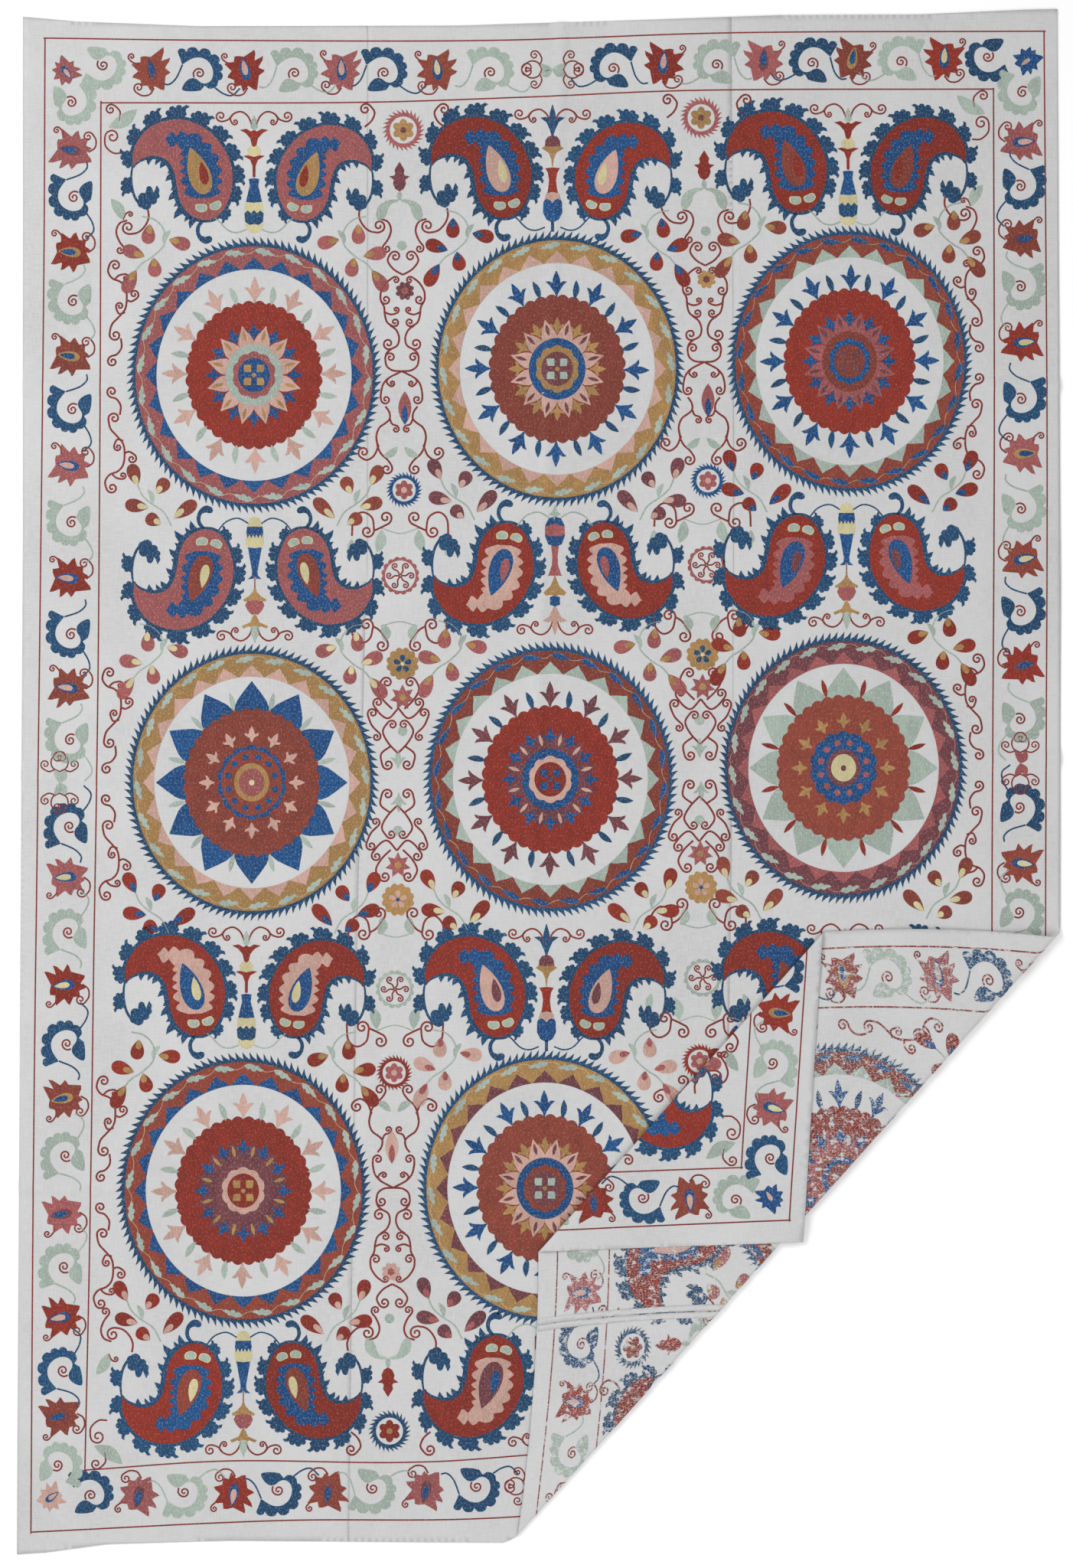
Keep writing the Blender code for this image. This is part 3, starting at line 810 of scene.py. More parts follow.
# The medallions: nine rosettes in three rows. Each is a toothed blue rim, a ring of leaves and
# triangles, a plain ring with tulips or tall petals, and a scalloped disc with a ringed heart.
# Each row: x, y, half width, half height, the way its teeth lean, the threads of its rim, ring,
# ring leaves, triangles, tulips, small leaves, disc, crowns, petals, petal marks and heart, its kind.
MEDALLIONS = [
    (332, 490, 167, 181, 1, "teal", "rose", "sage", "blue", "pink", "sage", "red", "blue", "pink", "gold",
     ("sage", "rose", "blue", "gold"), "tulips"),
    (728, 482, 167, 181, -1, "teal", "gold", "sage", "pink", "blue", "teal", "brick", "gold", "pink", "plum",
     ("blue", "gold", "plum", "sage"), "tulips"),
    (1110, 472, 161, 178, 1, "teal", "brick", "blue", "sage", "blue", "teal", "red", "blue", "rose", "plum",
     ("brick", "blue", "brick", "plum"), "tulips"),
    (329, 1022, 167, 181, -1, "teal", "gold", "sage", "pink", "blue", "sage", "brick", "pink", "", "",
     ("blue", "brick", "blue", "gold", "rose", "pale"), "petals"),
    (719, 1018, 167, 181, 1, "teal", "brick", "blue", "sage", "plum", "teal", "red", "blue", "plum", "pink",
     ("blue", "pink", "red", "blue"), "tulips"),
    (1102, 1003, 163, 178, -1, "teal", "plum", "sage", "rose", "sage", "red", "brick", "gold", "", "",
     ("blue", "blue", "rose", "plum", "pale", "plum"), "petals"),
    (318, 1555, 167, 181, 1, "teal", "brick", "sage", "blue", "pink", "sage", "red", "blue", "plum", "gold",
     ("plum", "pink", "red", "gold"), "tulips"),
    (712, 1552, 167, 181, -1, "teal", "gold", "sage", "plum", "blue", "teal", "brick", "gold", "pink", "plum",
     ("blue", "brick", "plum", "sage"), "tulips"),
    (1098, 1536, 162, 170, 1, "teal", "brick", "blue", "sage", "blue", "teal", "red", "blue", "rose", "plum",
     ("brick", "blue", "brick", "plum"), "tulips"),
]
TULIP = both([
    (0.6, -2), (2.6, 4), (6.0, 9), (9.0, 13.5), (14.0, 18.0), (9.0, 18.6), (4.8, 16.0), (4.6, 21),
    (3.0, 26), (0.3, 32),
])
CROWN = both([
    (0.4, -1), (2.0, 2), (3.0, 5), (8.6, 8.0), (9.4, 11.5), (5.0, 9.8), (3.8, 10.5), (3.4, 14), (0.4, 20),
])
INNER_PETAL = both([(9.6, -4), (10.4, 5), (8.2, 12), (3.6, 20), (0.3, 27)])
TALL_PETAL = both([(22, -8), (22.5, 3), (19, 12), (12, 22), (5, 31), (0.4, 37)])
RING_LEAF = np.array([
    (0, 0), (3, -2.6), (7, -3.6), (8.5, -1.9), (13, -4.2), (16, -3.4), (17, -1.4), (23, -2), (27, 0.5), (20, 2.3),
    (17, 4.0), (13, 2.4), (9, 4.0), (5, 2.8), (2, 1.4),
]) - (13.5, 0)


def medallion(
    x, y, wide, high, lean, teeth, ring, vine, point, tulip, sprig, disc, crown, petal, mark, hearts, kind,
):
    """One rosette. Places on it are a share of its radius and an angle from the top."""
    def outline(shape, level, thread, *holes):
        loops = [put(np.array(loop) * (wide, high), x, y) for loop in (shape, *holes)]
        fill(thread, *loops, level=level)

    def polar(r, degrees):
        return np.array([r * math.sin(math.radians(degrees)), r * math.cos(math.radians(degrees))])

    def stand(shape, r, degrees, thread, level, turn=0.0, size=1.0):
        at = polar(r, degrees) * (wide, high)
        heading = -math.degrees(math.atan2(*at))
        fill(thread, put(shape, x + at[0], y - at[1], heading + turn, size), level=level)

    outline(saw(112, 0.946, 1.0, lean), 0, teeth, circle(0.922, 120))
    outline(circle(0.928, 120), 1, ring, circle(0.765, 96))
    for k in range(24):
        a = 15 * k
        arc = [polar(0.764, a + q) for q in (-7.2, -3, 0, 3, 7.2)]
        rise = ((0.80, 4.2), (0.826, 1.7), (0.852, 0), (0.826, -1.7), (0.80, -4.2))
        outline(np.array(arc + [polar(r, a + q) for r, q in rise]), 2, point)
        centre = polar(0.888, a + 8.5 - 3 * lean) * (wide, high)
        heading = -math.degrees(math.atan2(*centre)) - 12 * lean
        fill(vine, put(RING_LEAF * (1, 1.15), x + centre[0], y - centre[1], heading, flip=lean), level=2)
    t = np.linspace(0, 360, 193)
    wave = np.array([polar(0.893 + 0.020 * math.sin(math.radians(24 * a)), a) for a in t]) * (wide, high)
    stitch("pale" if ring in ("gold", "rose", "brick") else "pink", put(wave, x, y), 1.6)
    base = 0 if kind == "tulips" else 2
    outline(scallops(0.538, 36, 0.04, 6), base, disc)
    if kind == "tulips":
        for k in range(12):
            stand(TULIP, 0.53, 30 * k + luck.uniform(-1, 1), tulip, 1)
            stand(leaf(25, 8.0, 1.0), 0.52, 30 * k + 15, sprig, 1, 8)
            stand(CROWN, 0.262, 30 * k, crown, 1)
            stand(INNER_PETAL, 0.215, 30 * k + 15, petal, 1)
            stand(leaf(16, 4.6), 0.245, 30 * k + 15, mark, 2)
        outline(circle(0.222, 48), 2, hearts[0])
        outline(scallops(0.172, 10, 0.09, 5), 3, hearts[1])
        outline(circle(0.124, 32), 4, hearts[2])
        square = np.array([(-4.8, -4.8), (3.4, -4.8), (4.8, -1), (4.8, 4.8), (-4.8, 4.8)])
        for a, b in ((1, 1), (1, -1), (-1, 1), (-1, -1)):
            fill(hearts[3], put(square * (a, b) + (8.6 * a, 8.6 * b), x, y), level=5)
        fill("gold" if disc == "brick" else hearts[3], put(circle(3.0, 10), x, y), level=5)
    else:
        for k in range(12):
            stand(TALL_PETAL, 0.525, 30 * k, tulip, 0)
            stand(leaf(25, 6.5, 0.5), 0.53, 30 * k + 15, sprig, 1)
            stand(CROWN, 0.295, 30 * k, crown, 3)
            stand(circle(4.2, 9), 0.188, 30 * k + 15, hearts[2], 5)
        outline(scallops(0.272, 14, 0.08, 5), 3, hearts[0])
        outline(circle(0.236, 48), 4, hearts[1])
        outline(circle(0.138, 32), 5, hearts[3])
        outline(circle(0.100, 24), 6, hearts[4])
        outline(circle(0.022, 10), 7, hearts[5])


for row in MEDALLIONS:
    medallion(*row)

# The almonds: between the rosettes two paisleys lean away from a flower stem. Each has a fringe
# of blue leaves that runs on past its point in a hook, a plain body with two eyes, a frilled band
# and a drop. They stand upright in the first and third rows, and hang in the others.
# Each row: x of the stem, y of its foot, turn, the threads of body, frill, drop and heart, and
# the kind of stem.
ALMONDS = [
    (332, 303, 0, "rose", "blue", "gold", "red", 0), (722, 300, 0, "red", "blue", "pink", "pale", 1),
    (1108, 293, 0, "red", "blue", "brick", "red", 0),
    (333, 676, 180, "rose", "blue", "brick", "pale", 2), (725, 668, 180, "red", "pink", "blue", "rose", 3),
    (1106, 658, 180, "red", "rose", "blue", "plum", 2),
    (322, 1368, 0, "red", "pink", "blue", "pale", 0), (714, 1370, 0, "red", "blue", "pink", "plum", 1),
    (1104, 1364, 0, "red", "blue", "brick", "pale", 0),
    (318, 1739, 180, "red", "blue", "brick", "pale", 2), (711, 1728, 181, "red", "pink", "plum", "blue", 3),
    (1097, 1690, 185, "red", "blue", "pink", "plum", 2),
]
# The left one of an upright pair, from the stem's foot, y up: its outer edge from the point over
# the top to the bottom, and its inner edge back to the point.
ALMOND_OUTER = [
    (-158, 84), (-158, 104), (-150, 122), (-137, 136), (-120, 144), (-98, 147), (-77, 142), (-58, 131),
    (-42, 113), (-31, 91), (-28, 70), (-31, 48), (-41, 27), (-54, 17), (-67, 15),
]
ALMOND_INNER = [
    (-67, 15), (-80, 20), (-91, 30), (-98, 44), (-101, 60), (-104, 76), (-110, 89), (-120, 97),
    (-134, 99), (-147, 95), (-155, 89), (-158, 84),
]
FRILL_LINE = [(-116, 122), (-100, 120), (-86, 118), (-77, 106), (-70, 86), (-68, 64), (-67, 44)]
FRILL_PROFILE = [(0, 0.5), (0.07, 3.0), (0.2, 5), (0.31, 9), (0.42, 15), (0.6, 20), (0.8, 20), (0.95, 16), (1, 9)]
HOOK_LINE = [(-157, 92), (-160, 78), (-160, 62), (-156, 46), (-148, 35), (-141, 31)]
TAIL_LINE = [(-66, 16), (-73, 6), (-72, -5), (-64, -11), (-55, -8)]
# A frond of the fringe, on its foot: the valleys between its lobes, with a hooked point on the
# right. The palmette at the hook's end is given where it stands.
FROND = np.vstack([
    lobed([(-9, -3), (-11.5, 3), (-9.5, 10), (-1.5, 12.5), (6.5, 13.5)], 0.42, 5),
    [(11.5, 16.5), (15.5, 14.5), (11, 11.5)], lobed([(10.5, 8), (9.5, 3), (8, -3)], 0.36, 4),
])
PALMETTE = np.vstack([
    lobed([(-146, 31), (-151, 42), (-143, 51)], 0.3, 4), lobed([(-142, 50), (-131, 51)], 0.85, 5),
    [(-127, 61), (-123.5, 55)], lobed([(-124.5, 50), (-127, 43), (-134, 36), (-145, 30)], 0.3, 4),
])
# Each row: the edge it stands on, place along it, side (1 is to the left of its run), lean, size.
FRONDS = [
    ("outer", 0.04, 1, 6, 0.92), ("outer", 0.135, 1, 2, 0.96), ("outer", 0.235, 1, 0, 1.02),
    ("outer", 0.335, 1, 0, 1.08), ("outer", 0.435, 1, 0, 1.06), ("outer", 0.535, 1, 0, 1.02),
    ("outer", 0.63, 1, 0, 1.0), ("outer", 0.72, 1, -3, 0.96), ("outer", 0.81, 1, -6, 0.88),
    ("outer", 0.895, 1, -10, 0.7), ("hook", 0.46, -1, 0, 0.86),
]
# The thorns of the inner edge. Each row: the foot's x and y, the tip's x and y, the foot's width.
THORNS = [
    (-136, 97, -138, 87, 9), (-124, 95, -129, 87, 7), (-115, 92, -123, 83, 11), (-107, 80, -113, 76, 7),
    (-105, 74, -116, 66, 11), (-102, 58, -109, 54, 8), (-101, 50, -112, 41, 12), (-96, 38, -105, 33, 8),
    (-93, 30, -105, 17, 13), (-84, 21, -91, 13, 8), (-78, 19, -84, 4, 12),
]
EYE = smooth([(-6, -3), (1, -5), (7, -1), (5, 5), (-2, 4.5), (-7, 3)], closed=True, steps=3)
# The stems between two almonds, from the foot up. Each row: thread, level, half outline.
STEMS = [
    [
        ("pale", 0, [(0.5, -2), (7, 0), (11, 7), (11.5, 15), (0.5, 16)]),
        ("teal", 1, [(0.5, 10), (6, 9), (11.5, 13), (12.5, 24), (8, 28), (4, 24), (0.5, 28)]),
        ("pale", 0, [(0.5, 24), (5, 25), (12, 24), (11.5, 38), (7, 41), (0.5, 39)]),
        ("blue", 1, [(0.5, 38), (10.5, 39), (8, 50), (5.5, 60), (6.8, 69), (0.5, 70)]),
        ("red", 0, [(0.5, 71), (1.8, 72), (2, 86), (5, 94), (14, 99), (8, 100), (0.5, 98)]),
        ("pale", 0, [(0.5, 98), (8, 101), (9, 107), (5, 112), (0.5, 114)]),
        ("red", 1, [(0.5, 111), (3, 113), (5, 122), (11, 129), (18.5, 133), (10, 134.5), (4, 131), (0.5, 133)]),
        ("sage", 0, [(0.5, 133), (4.5, 136), (5, 143), (2, 148), (0.5, 152)]),
    ],
    [
        ("teal", 0, [(2.0, -3), (2.0, 11), (0.5, 12)]),
        ("blue", 0, [(0.5, 9), (8, 13), (12.5, 22), (12, 36), (8, 41), (0.5, 37)]),
        ("pink", 1, [(0.5, 35), (5, 41), (11, 38), (8, 47), (0.5, 49)]),
        ("red", 0, [(0.5, 44), (7, 47), (5.5, 54), (4.5, 64), (6, 74), (9.5, 80), (0.5, 81)]),
        ("gold", 0, [(0.6, 82), (1.6, 92), (5, 100), (14, 106), (9, 110), (0.5, 112)]),
        ("plum", 1, [(0.5, 108), (10, 109), (9.5, 116), (6, 121), (0.5, 123)]),
        ("teal", 0, [(1.0, 122), (3.5, 130), (8, 140), (16, 146), (9, 147), (4.5, 145), (3.6, 152), (0.4, 163)]),
    ],
    [
        ("pale", 0, [(0.5, -1), (6, 1), (9.5, 8), (9.5, 14), (0.5, 14)]),
        ("blue", 1, [(0.5, 12), (10, 12), (11, 20), (9.5, 27), (7, 22), (4.5, 27), (2, 22), (0.5, 26)]),
        ("pale", 0, [(0.5, 20), (11, 20), (11.8, 32), (10, 41), (6, 38), (0.5, 42)]),
        ("blue", 1, [(0.5, 40), (9, 39), (6, 56), (3.5, 70), (4, 76), (9, 80.5), (2, 80), (0.5, 76)]),
        ("line", 0, [(0.6, 76), (0.7, 92), (0.2, 92)]),
        ("gold", 0, [(0.5, 90), (2.5, 97), (8, 103), (15, 107), (14, 110), (7, 108), (0.5, 111)]),
        ("rose", 1, [(0.5, 108), (10, 109), (12.5, 115), (9, 122), (4, 127), (0.5, 126)]),
        ("gold", 0, [(0.5, 126), (3, 130), (6, 137), (17.5, 142), (15, 145), (8, 142), (0.5, 145)]),
        ("sage", 1, [(0.5, 141), (6, 144), (5, 152), (1.5, 160), (0.4, 164)]),
    ],
    [
        ("sage", 0, [(0.5, -8), (3, 0), (8, 4), (3, 6), (0.5, 12)]),
        ("blue", 0, [(0.5, 7), (8, 9), (12.5, 18), (13, 32), (9, 43), (0.5, 46)]),
        ("rose", 1, [(0.5, 16), (6, 18), (12.7, 20), (12.9, 30), (6, 33), (0.5, 32)]),
        ("rose", 0, [(0.5, 44), (5, 45), (3.5, 58), (4, 70), (8, 82), (9.5, 84), (0.5, 84)]),
        ("gold", 0, [(0.5, 84), (2.5, 90), (6, 98), (15, 106), (12, 110), (6, 109), (0.5, 110)]),
        ("blue", 1, [(0.5, 110), (6.5, 112), (6.5, 122), (0.5, 124)]),
        ("pink", 0, [(1.0, 123), (4, 130), (8, 138), (16, 143), (9, 145), (4.5, 144), (3.6, 151), (0.4, 161)]),
    ],
]


def even(points, count):
    """A smooth path with its points evenly spaced."""
    path = smooth(points, steps=12)
    s = np.concatenate([[0], np.cumsum(np.linalg.norm(np.diff(path, axis=0), axis=1))])
    at = np.linspace(0, s[-1], count)
    return np.column_stack([np.interp(at, s, path[:, k]) for k in (0, 1)])


def on_edge(shape, path, at, side, lean, out=0.0):
    """A shape stood on a path, at a share of its length, pointing away to one side."""
    k = min(round(at * (len(path) - 1)), len(path) - 2)
    run = path[k + 1] - path[k]
    run = run / np.linalg.norm(run)
    away = np.array([-run[1], run[0]]) * side
    x, y = path[k] + away * out
    return moved(shape, x, y, math.degrees(math.atan2(-away[0], away[1])) + lean)


EDGES = {"outer": even(ALMOND_OUTER, 120), "inner": even(ALMOND_INNER, 80), "hook": even(HOOK_LINE, 40)}


def almond(x, y, turn, flip, body, frill, inner, heart):
    """One paisley of a pair. It is drawn as the left one of an upright pair."""
    large = flip == (1 if turn == 0 else -1)
    size, x = (1.0, x) if large else (0.95, x + 3)
    shade = luck.random()

    def couch(thread, shape, level):
        fill(thread, put(shape, x, y, turn, size, flip), level=level, shade=shade)

    couch("teal", band(EDGES["outer"], [(0, 1.5), (0.06, 4.2), (0.9, 4.2), (1, 3)]), 0)
    couch("teal", band(EDGES["inner"], [(0, 3), (0.15, 6), (0.45, 6), (0.7, 5), (0.9, 3), (1, 1.5)]), 0)
    couch("teal", band(EDGES["hook"], [(0, 1.0), (0.2, 1.3), (0.8, 1.8), (1, 2.2)]), 0)
    couch("teal", band(even(TAIL_LINE, 24), [(0, 2.2), (0.55, 2.6), (0.8, 4.8), (0.94, 4.2), (1, 1.5)]), 0)
    couch("teal", PALMETTE, 1)
    for edge, at, side, lean, scale in FRONDS:
        frond = FROND * scale * (-1 if edge == "hook" else 1, 1)
        couch("teal", on_edge(frond, EDGES[edge], at, side, lean, 1.0), 1)
    for x0, y0, x1, y1, foot in THORNS:
        run = np.array([x1 - x0, y1 - y0]) / math.hypot(x1 - x0, y1 - y0)
        aside = np.array([-run[1], run[0]]) * foot / 2
        low, tip = np.array([x0, y0]), np.array([x1, y1])
        before, after = low * 0.4 + tip * 0.6 - aside * 0.7, low * 0.6 + tip * 0.4 + aside * 0.5
        couch("teal", np.array([low - aside, before, tip, after, low + aside]), 1)
    couch(body, np.vstack([EDGES["outer"][:-1], EDGES["inner"][:-1]]), 2)
    couch(frill, band(even(FRILL_LINE, 90), FRILL_PROFILE, left=(8, 7.0), right=(7, 7.5)), 3)
    couch(inner, moved(drop(64, 32), -83.5, 110, 199), 4)
    couch(heart, moved(drop(31, 13), -69, 92, 191), 5)
    for ex, ey, lean in ((-69, 31, -10), (-50, 34, 15)):
        couch("pale", moved(EYE * 1.12, ex, ey, lean), 3)
        couch("sage", moved(EYE * 0.92, ex, ey, lean), 4)


# The thin line that runs from a stem's foot under the almonds beside it, where they stand upright
# and where they hang, and the red curls at a stem's top, each with its radius and hand.
STANDING_GARLAND = [(10, 3), (22, -1), (34, 2), (46, 14), (52, 19)]
HANGING_GARLAND = [(8, 8), (22, 1), (38, 6), (50, 20)]
STEM_CURLS = [
    ([(3, 140), (8, 151), (17, 157), (27, 154), (33, 147), (41, 144)], 7.5, 1),
    ([(27, 154), (31, 148), (29, 142)], 4.5, -1),
]
for x, y, turn, *threads, kind in ALMONDS:
    for flip in (1, -1):
        almond(x, y, turn, flip, *threads)
        garland = smooth(STANDING_GARLAND if turn == 0 else HANGING_GARLAND)
        stitch("sage" if kind in (0, 3) else "teal", put(garland, x, y, turn, flip=flip), 2.0)
        low = 0 if turn == 0 else 4
        for curl, radius, hand in STEM_CURLS:
            path = tendril(np.array(curl) + (0, low), (radius, hand))
            stitch("line", put(path, x, y, turn, flip=flip), 2.3)
    for thread, level, half in STEMS[kind]:
        fill(thread, put(both(half), x, y, turn), level=level)

# The columns between the rosettes: ringed rosettes, pinwheels, stars, dots, lilies and spindle
# buds, one above the other. Each row: x, y, kind, first thread, second thread, third thread.
COLUMNS = [
    (527, 170, "big_ring", "rose", "gold", "plum"), (522, 232, "lily", "plum", "sage", ""),
    (525, 321, "dot", "sage", "", ""), (529, 380, "rosette", "plum", "rose", ""),
    (529, 533, "spindle", "rose", "blue", ""), (528, 640, "ring", "blue", "rose", "pink"),
    (523, 752, "pinwheel", "rose", "", ""), (526, 867, "flower", "gold", "teal", "pale"),
    (526, 911, "star", "rose", "gold", ""), (526, 955, "dot", "sage", "", ""),
    (520, 991, "trident", "sage", "", ""), (521, 1049, "trident_down", "sage", "", ""),
    (520, 1085, "dot", "sage", "", ""), (520, 1130, "star", "rose", "gold", ""),
    (520, 1175, "flower", "gold", "pink", "blue"), (516, 1292, "pinwheel", "sage", "", ""),
    (515, 1401, "ring", "red", "rose", "pink"), (512, 1498, "spindle", "pink", "rose", ""),
    (511, 1661, "rosette", "pink", "rose", ""), (509, 1722, "dot", "sage", "", ""),
    (507, 1804, "lily_down", "red", "sage", ""), (509, 1869, "big_ring", "teal", "red", "gold"),
    (916, 154, "big_ring", "rose", "gold", "plum"), (920, 217, "lily", "red", "sage", ""),
    (922, 302, "dot", "sage", "", ""), (923, 365, "rosette", "gold", "plum", ""),
    (925, 523, "spindle", "rose", "blue", ""), (925, 628, "ring", "blue", "rose", "pink"),
    (923, 738, "pinwheel", "rose", "", ""), (918, 855, "flower", "gold", "teal", "pale"),
    (918, 897, "star", "rose", "gold", ""), (914, 941, "dot", "sage", "", ""),
    (914, 976, "trident", "sage", "", ""), (916, 1034, "trident_down", "sage", "", ""),
    (914, 1071, "dot", "sage", "", ""), (915, 1115, "star", "rose", "gold", ""),
    (916, 1159, "flower", "gold", "pink", "blue"), (918, 1277, "pinwheel", "sage", "", ""),
    (914, 1386, "ring", "red", "rose", "pink"), (910, 1484, "spindle", "pink", "rose", ""),
    (908, 1647, "rosette", "pink", "rose", ""), (906, 1708, "dot", "sage", "", ""),
    (905, 1787, "lily_down", "red", "sage", ""), (905, 1840, "big_ring", "teal", "red", "gold"),
]
BUD = both([
    (0.5, 0), (5.5, 3), (8.5, 10), (7.5, 15), (13.5, 19.5), (7, 20.5), (5.5, 23), (6.5, 28), (3.5, 33), (0.4, 38),
])


def column_motif(x, y, kind, first, second, third):
    """One small motif on a column's line."""
    if kind in ("ring", "big_ring"):
        size = 1.0 if kind == "ring" else 1.17
        fill(first, put(saw(27, 18.6, 23.8, 1), x, y, 0, size), put(circle(15.2, 28), x, y, 0, size))
        fill(second, put(scallops(12.5, 6, 0.3, 6), x, y, 0, size))
        fill(third, put(circle(4.0, 12), x, y), level=1)
    elif kind == "pinwheel":
        fill(first, put(scallops(25, 16, 0.1, 6), x, y), put(circle(20, 36), x, y))
        for k in range(6):
            arm = tendril([(0, 1), (3.5, 6), (3, 11.5)], (4.6, -1))
            stitch("line", put(arm, x, y, 60 * k), 2.1)
    elif kind == "flower":
        fill(first, put(scallops(21.5, 12, 0.14, 6), x, y))
        for k in range(5):
            fill(second, put(drop(9.5, 7.5) + (0, 2.4), x, y, 72 * k), level=1)
        fill(third, put(circle(2.6, 10), x, y), level=1)
    elif kind == "rosette":
        fill(first, put(scallops(12.5, 8, 0.25, 6), x, y))
        fill(second, put(scallops(5, 6, 0.2, 5), x, y), level=1)
    elif kind == "star":
        a = math.pi * np.arange(14)[::-1] / 7
        r = np.tile([9.5, 17], 7)
        fill(first, put(np.column_stack([r * np.sin(a), r * np.cos(a)]), x, y))
        fill(second, put(circle(4.6, 12), x, y), level=1)
    elif kind == "dot":
        fill(first, put(circle(6.3, 14), x, y))
    elif kind == "spindle":
        fill(first, put(leaf(44, 17), x, y + 22))
        fill(second, put(leaf(26, 8), x, y + 22), level=1)
    elif kind in ("trident", "trident_down"):
        turn = 0 if kind == "trident" else 180
        fill(first, put(TULIP - (0, 16), x, y, turn, 0.75))
    else:
        turn = 0 if kind == "lily" else 180
        fill(first, put(BUD - (0, 18), x, y, turn))
        fill(second, put(circle(3.2, 12, 6.0) - (0, 24), x, y, turn))
        for flip in (1, -1):
            arch = smooth([(2, -30), (12, -32), (21, -40), (27, -58)])
            profile = [(0, 1.2), (0.25, 2.8), (0.6, 7.2), (0.85, 5.8), (1, 0.5)]
            fill(second, put(band(arch, profile), x, y, turn, flip=flip))


for row in COLUMNS:
    column_motif(*row)

# Scrollwork: dark red chain-stitched lines that wind into spirals, on both sides of each column.
# Each row: points (x from the column's line, y down the photograph, for the first column), then
# the radius and hand of the spiral at the end, and of the one at the start. The strips beside the
# inner lines take only the strokes that start between the two heights given next.
IN_STRIPS = (200, 310)
SCROLL_WIDTH = 2.6
SCROLLS = [
    ([(52, 166), (43, 158), (39, 147), (45, 138)], (8, -1), (0, 0)),
    ([(57, 272), (58, 283), (53, 294), (44, 302), (33, 304)], (9, -1), (0, 0)),
    ([(30, 286), (20, 290), (16, 301), (20, 313), (26, 321)], (6, -1), (0, 0)),
    ([(0, 359), (12, 352), (20, 341), (17, 332)], (7.5, 1), (0, 0)),
    ([(12, 362), (21, 369), (28, 380), (29, 391)], (7, -1), (5, 1)),
    ([(23, 408), (15, 411), (7, 409)], (4.5, -1), (0, 0)),
    ([(28, 394), (24, 401), (23, 411), (20, 421), (13, 426)], (6, -1), (0, 0)),
    ([(16, 425), (8, 431), (4, 441), (6, 451), (14, 456)], (8, 1), (0, 0)),
    ([(14, 456), (20, 461), (22, 468)], (0, 0), (0, 0)),
    ([(0, 485), (12, 484), (20, 478), (22, 468)], (7, 1), (0, 0)),
    ([(0, 485), (8, 489), (17, 494), (24, 502), (27, 514), (27, 522)], (6.5, -1), (0, 0)),
    ([(17, 494), (20, 499), (16, 504)], (4.5, -1), (0, 0)),
    ([(21, 531), (16, 538), (15, 547), (21, 553), (28, 558), (32, 567), (32, 576), (29, 584)], (0, 0), (0, 0)),
    ([(15, 547), (12, 554), (6, 556)], (5, 1), (0, 0)),
    ([(32, 574), (30, 585), (25, 594), (18, 600), (12, 608)], (8, 1), (0, 0)),
    ([(30, 584), (35, 595), (44, 601), (52, 598)], (8, 1), (0, 0)),
    ([(34, 693), (27, 690), (15, 684)], (9, -1), (0, 0)),
    ([(34, 693), (37, 676), (50, 669), (61, 678), (63, 700)], (0, 0), (9, 1)),
    ([(34, 818), (25, 824), (15, 838)], (9, 1), (0, 0)),
    ([(34, 818), (38, 834), (50, 840), (61, 829), (62, 812)], (0, 0), (9, -1)),
    ([(8, 926), (20, 914), (27, 900), (22, 888)], (7.5, 1), (0, 0)),
    ([(0, 925), (12, 938), (22, 934), (32, 922)], (7, 1), (0, 0)),
    ([(0, 984), (13, 970), (20, 955), (13, 943)], (6.5, 1), (0, 0)),
    ([(10, 975), (22, 985), (20, 1000)], (7.5, -1), (0, 0)),
    ([(24, 958), (34, 948), (40, 934)], (7, 1), (6, 1)),
]
# The vine in the strips beside a rosette's upper half, y down from its middle. The lower half
# mirrors it.
STRIP = [
    ([(8, -147), (6, -137), (12, -128), (22, -124), (29, -116), (31, -103), (29, -88), (20, -77),
      (12, -68), (9, -56)], (8, 1), (7.5, -1)),
    ([(31, -100), (37, -98), (44, -102)], (6.5, 1), (0, 0)),
    ([(29, -84), (21, -82), (17, -90)], (5.5, -1), (0, 0)),
    ([(24, -50), (25, -38), (19, -29), (12, -27)], (7.5, 1), (0, 0)),
    ([(14, -126), (20, -132), (28, -134)], (5, -1), (0, 0)),
]
STRIP_MIDDLES = (490, 1022, 1555)
# Sage leaves on a column. Each row: foot x and y, turn, length, width.
COLUMN_LEAVES = [(4.5, 584, -125, 23, 9.5), (21, 815, 172, 24, 13), (24, 692, -168, 30, 14), (60, 726, -8, 22, 10)]
GARLANDS = [[(-24, 690), (0, 697), (24, 690)], [(-24, 818), (0, 812), (24, 818)]]
# Each row: x of the line, how far down it is moved, its lean, and the sides that are worked. The
# lower half of the cloth mirrors the upper one.
MIRROR_Y = 2036
LINES = [(527, 0, 0.0105, (1, -1)), (922, -12, 0.0105, (1, -1)), (136, 2, 0.014, (1,)), (1292, -16, 0, (-1,))]


def on_line(points, line, half, flip):
    """A stroke of the first column, moved to a line, in pixels with y up."""
    x, shift, lean, _ = line
    across, down = np.array(points, float).T
    down = down if half == 1 else MIRROR_Y - down
    return np.column_stack([x + across * flip - lean * (down - 300), -(down + shift)])


def scroll_line(path, end, start, hand):
    """Works a stroke of scrollwork that already lies on its line."""
    path = tendril(path, (end[0], end[1] * hand), (start[0], start[1] * hand))
    stitch("line", put(path, 0, 0), SCROLL_WIDTH)


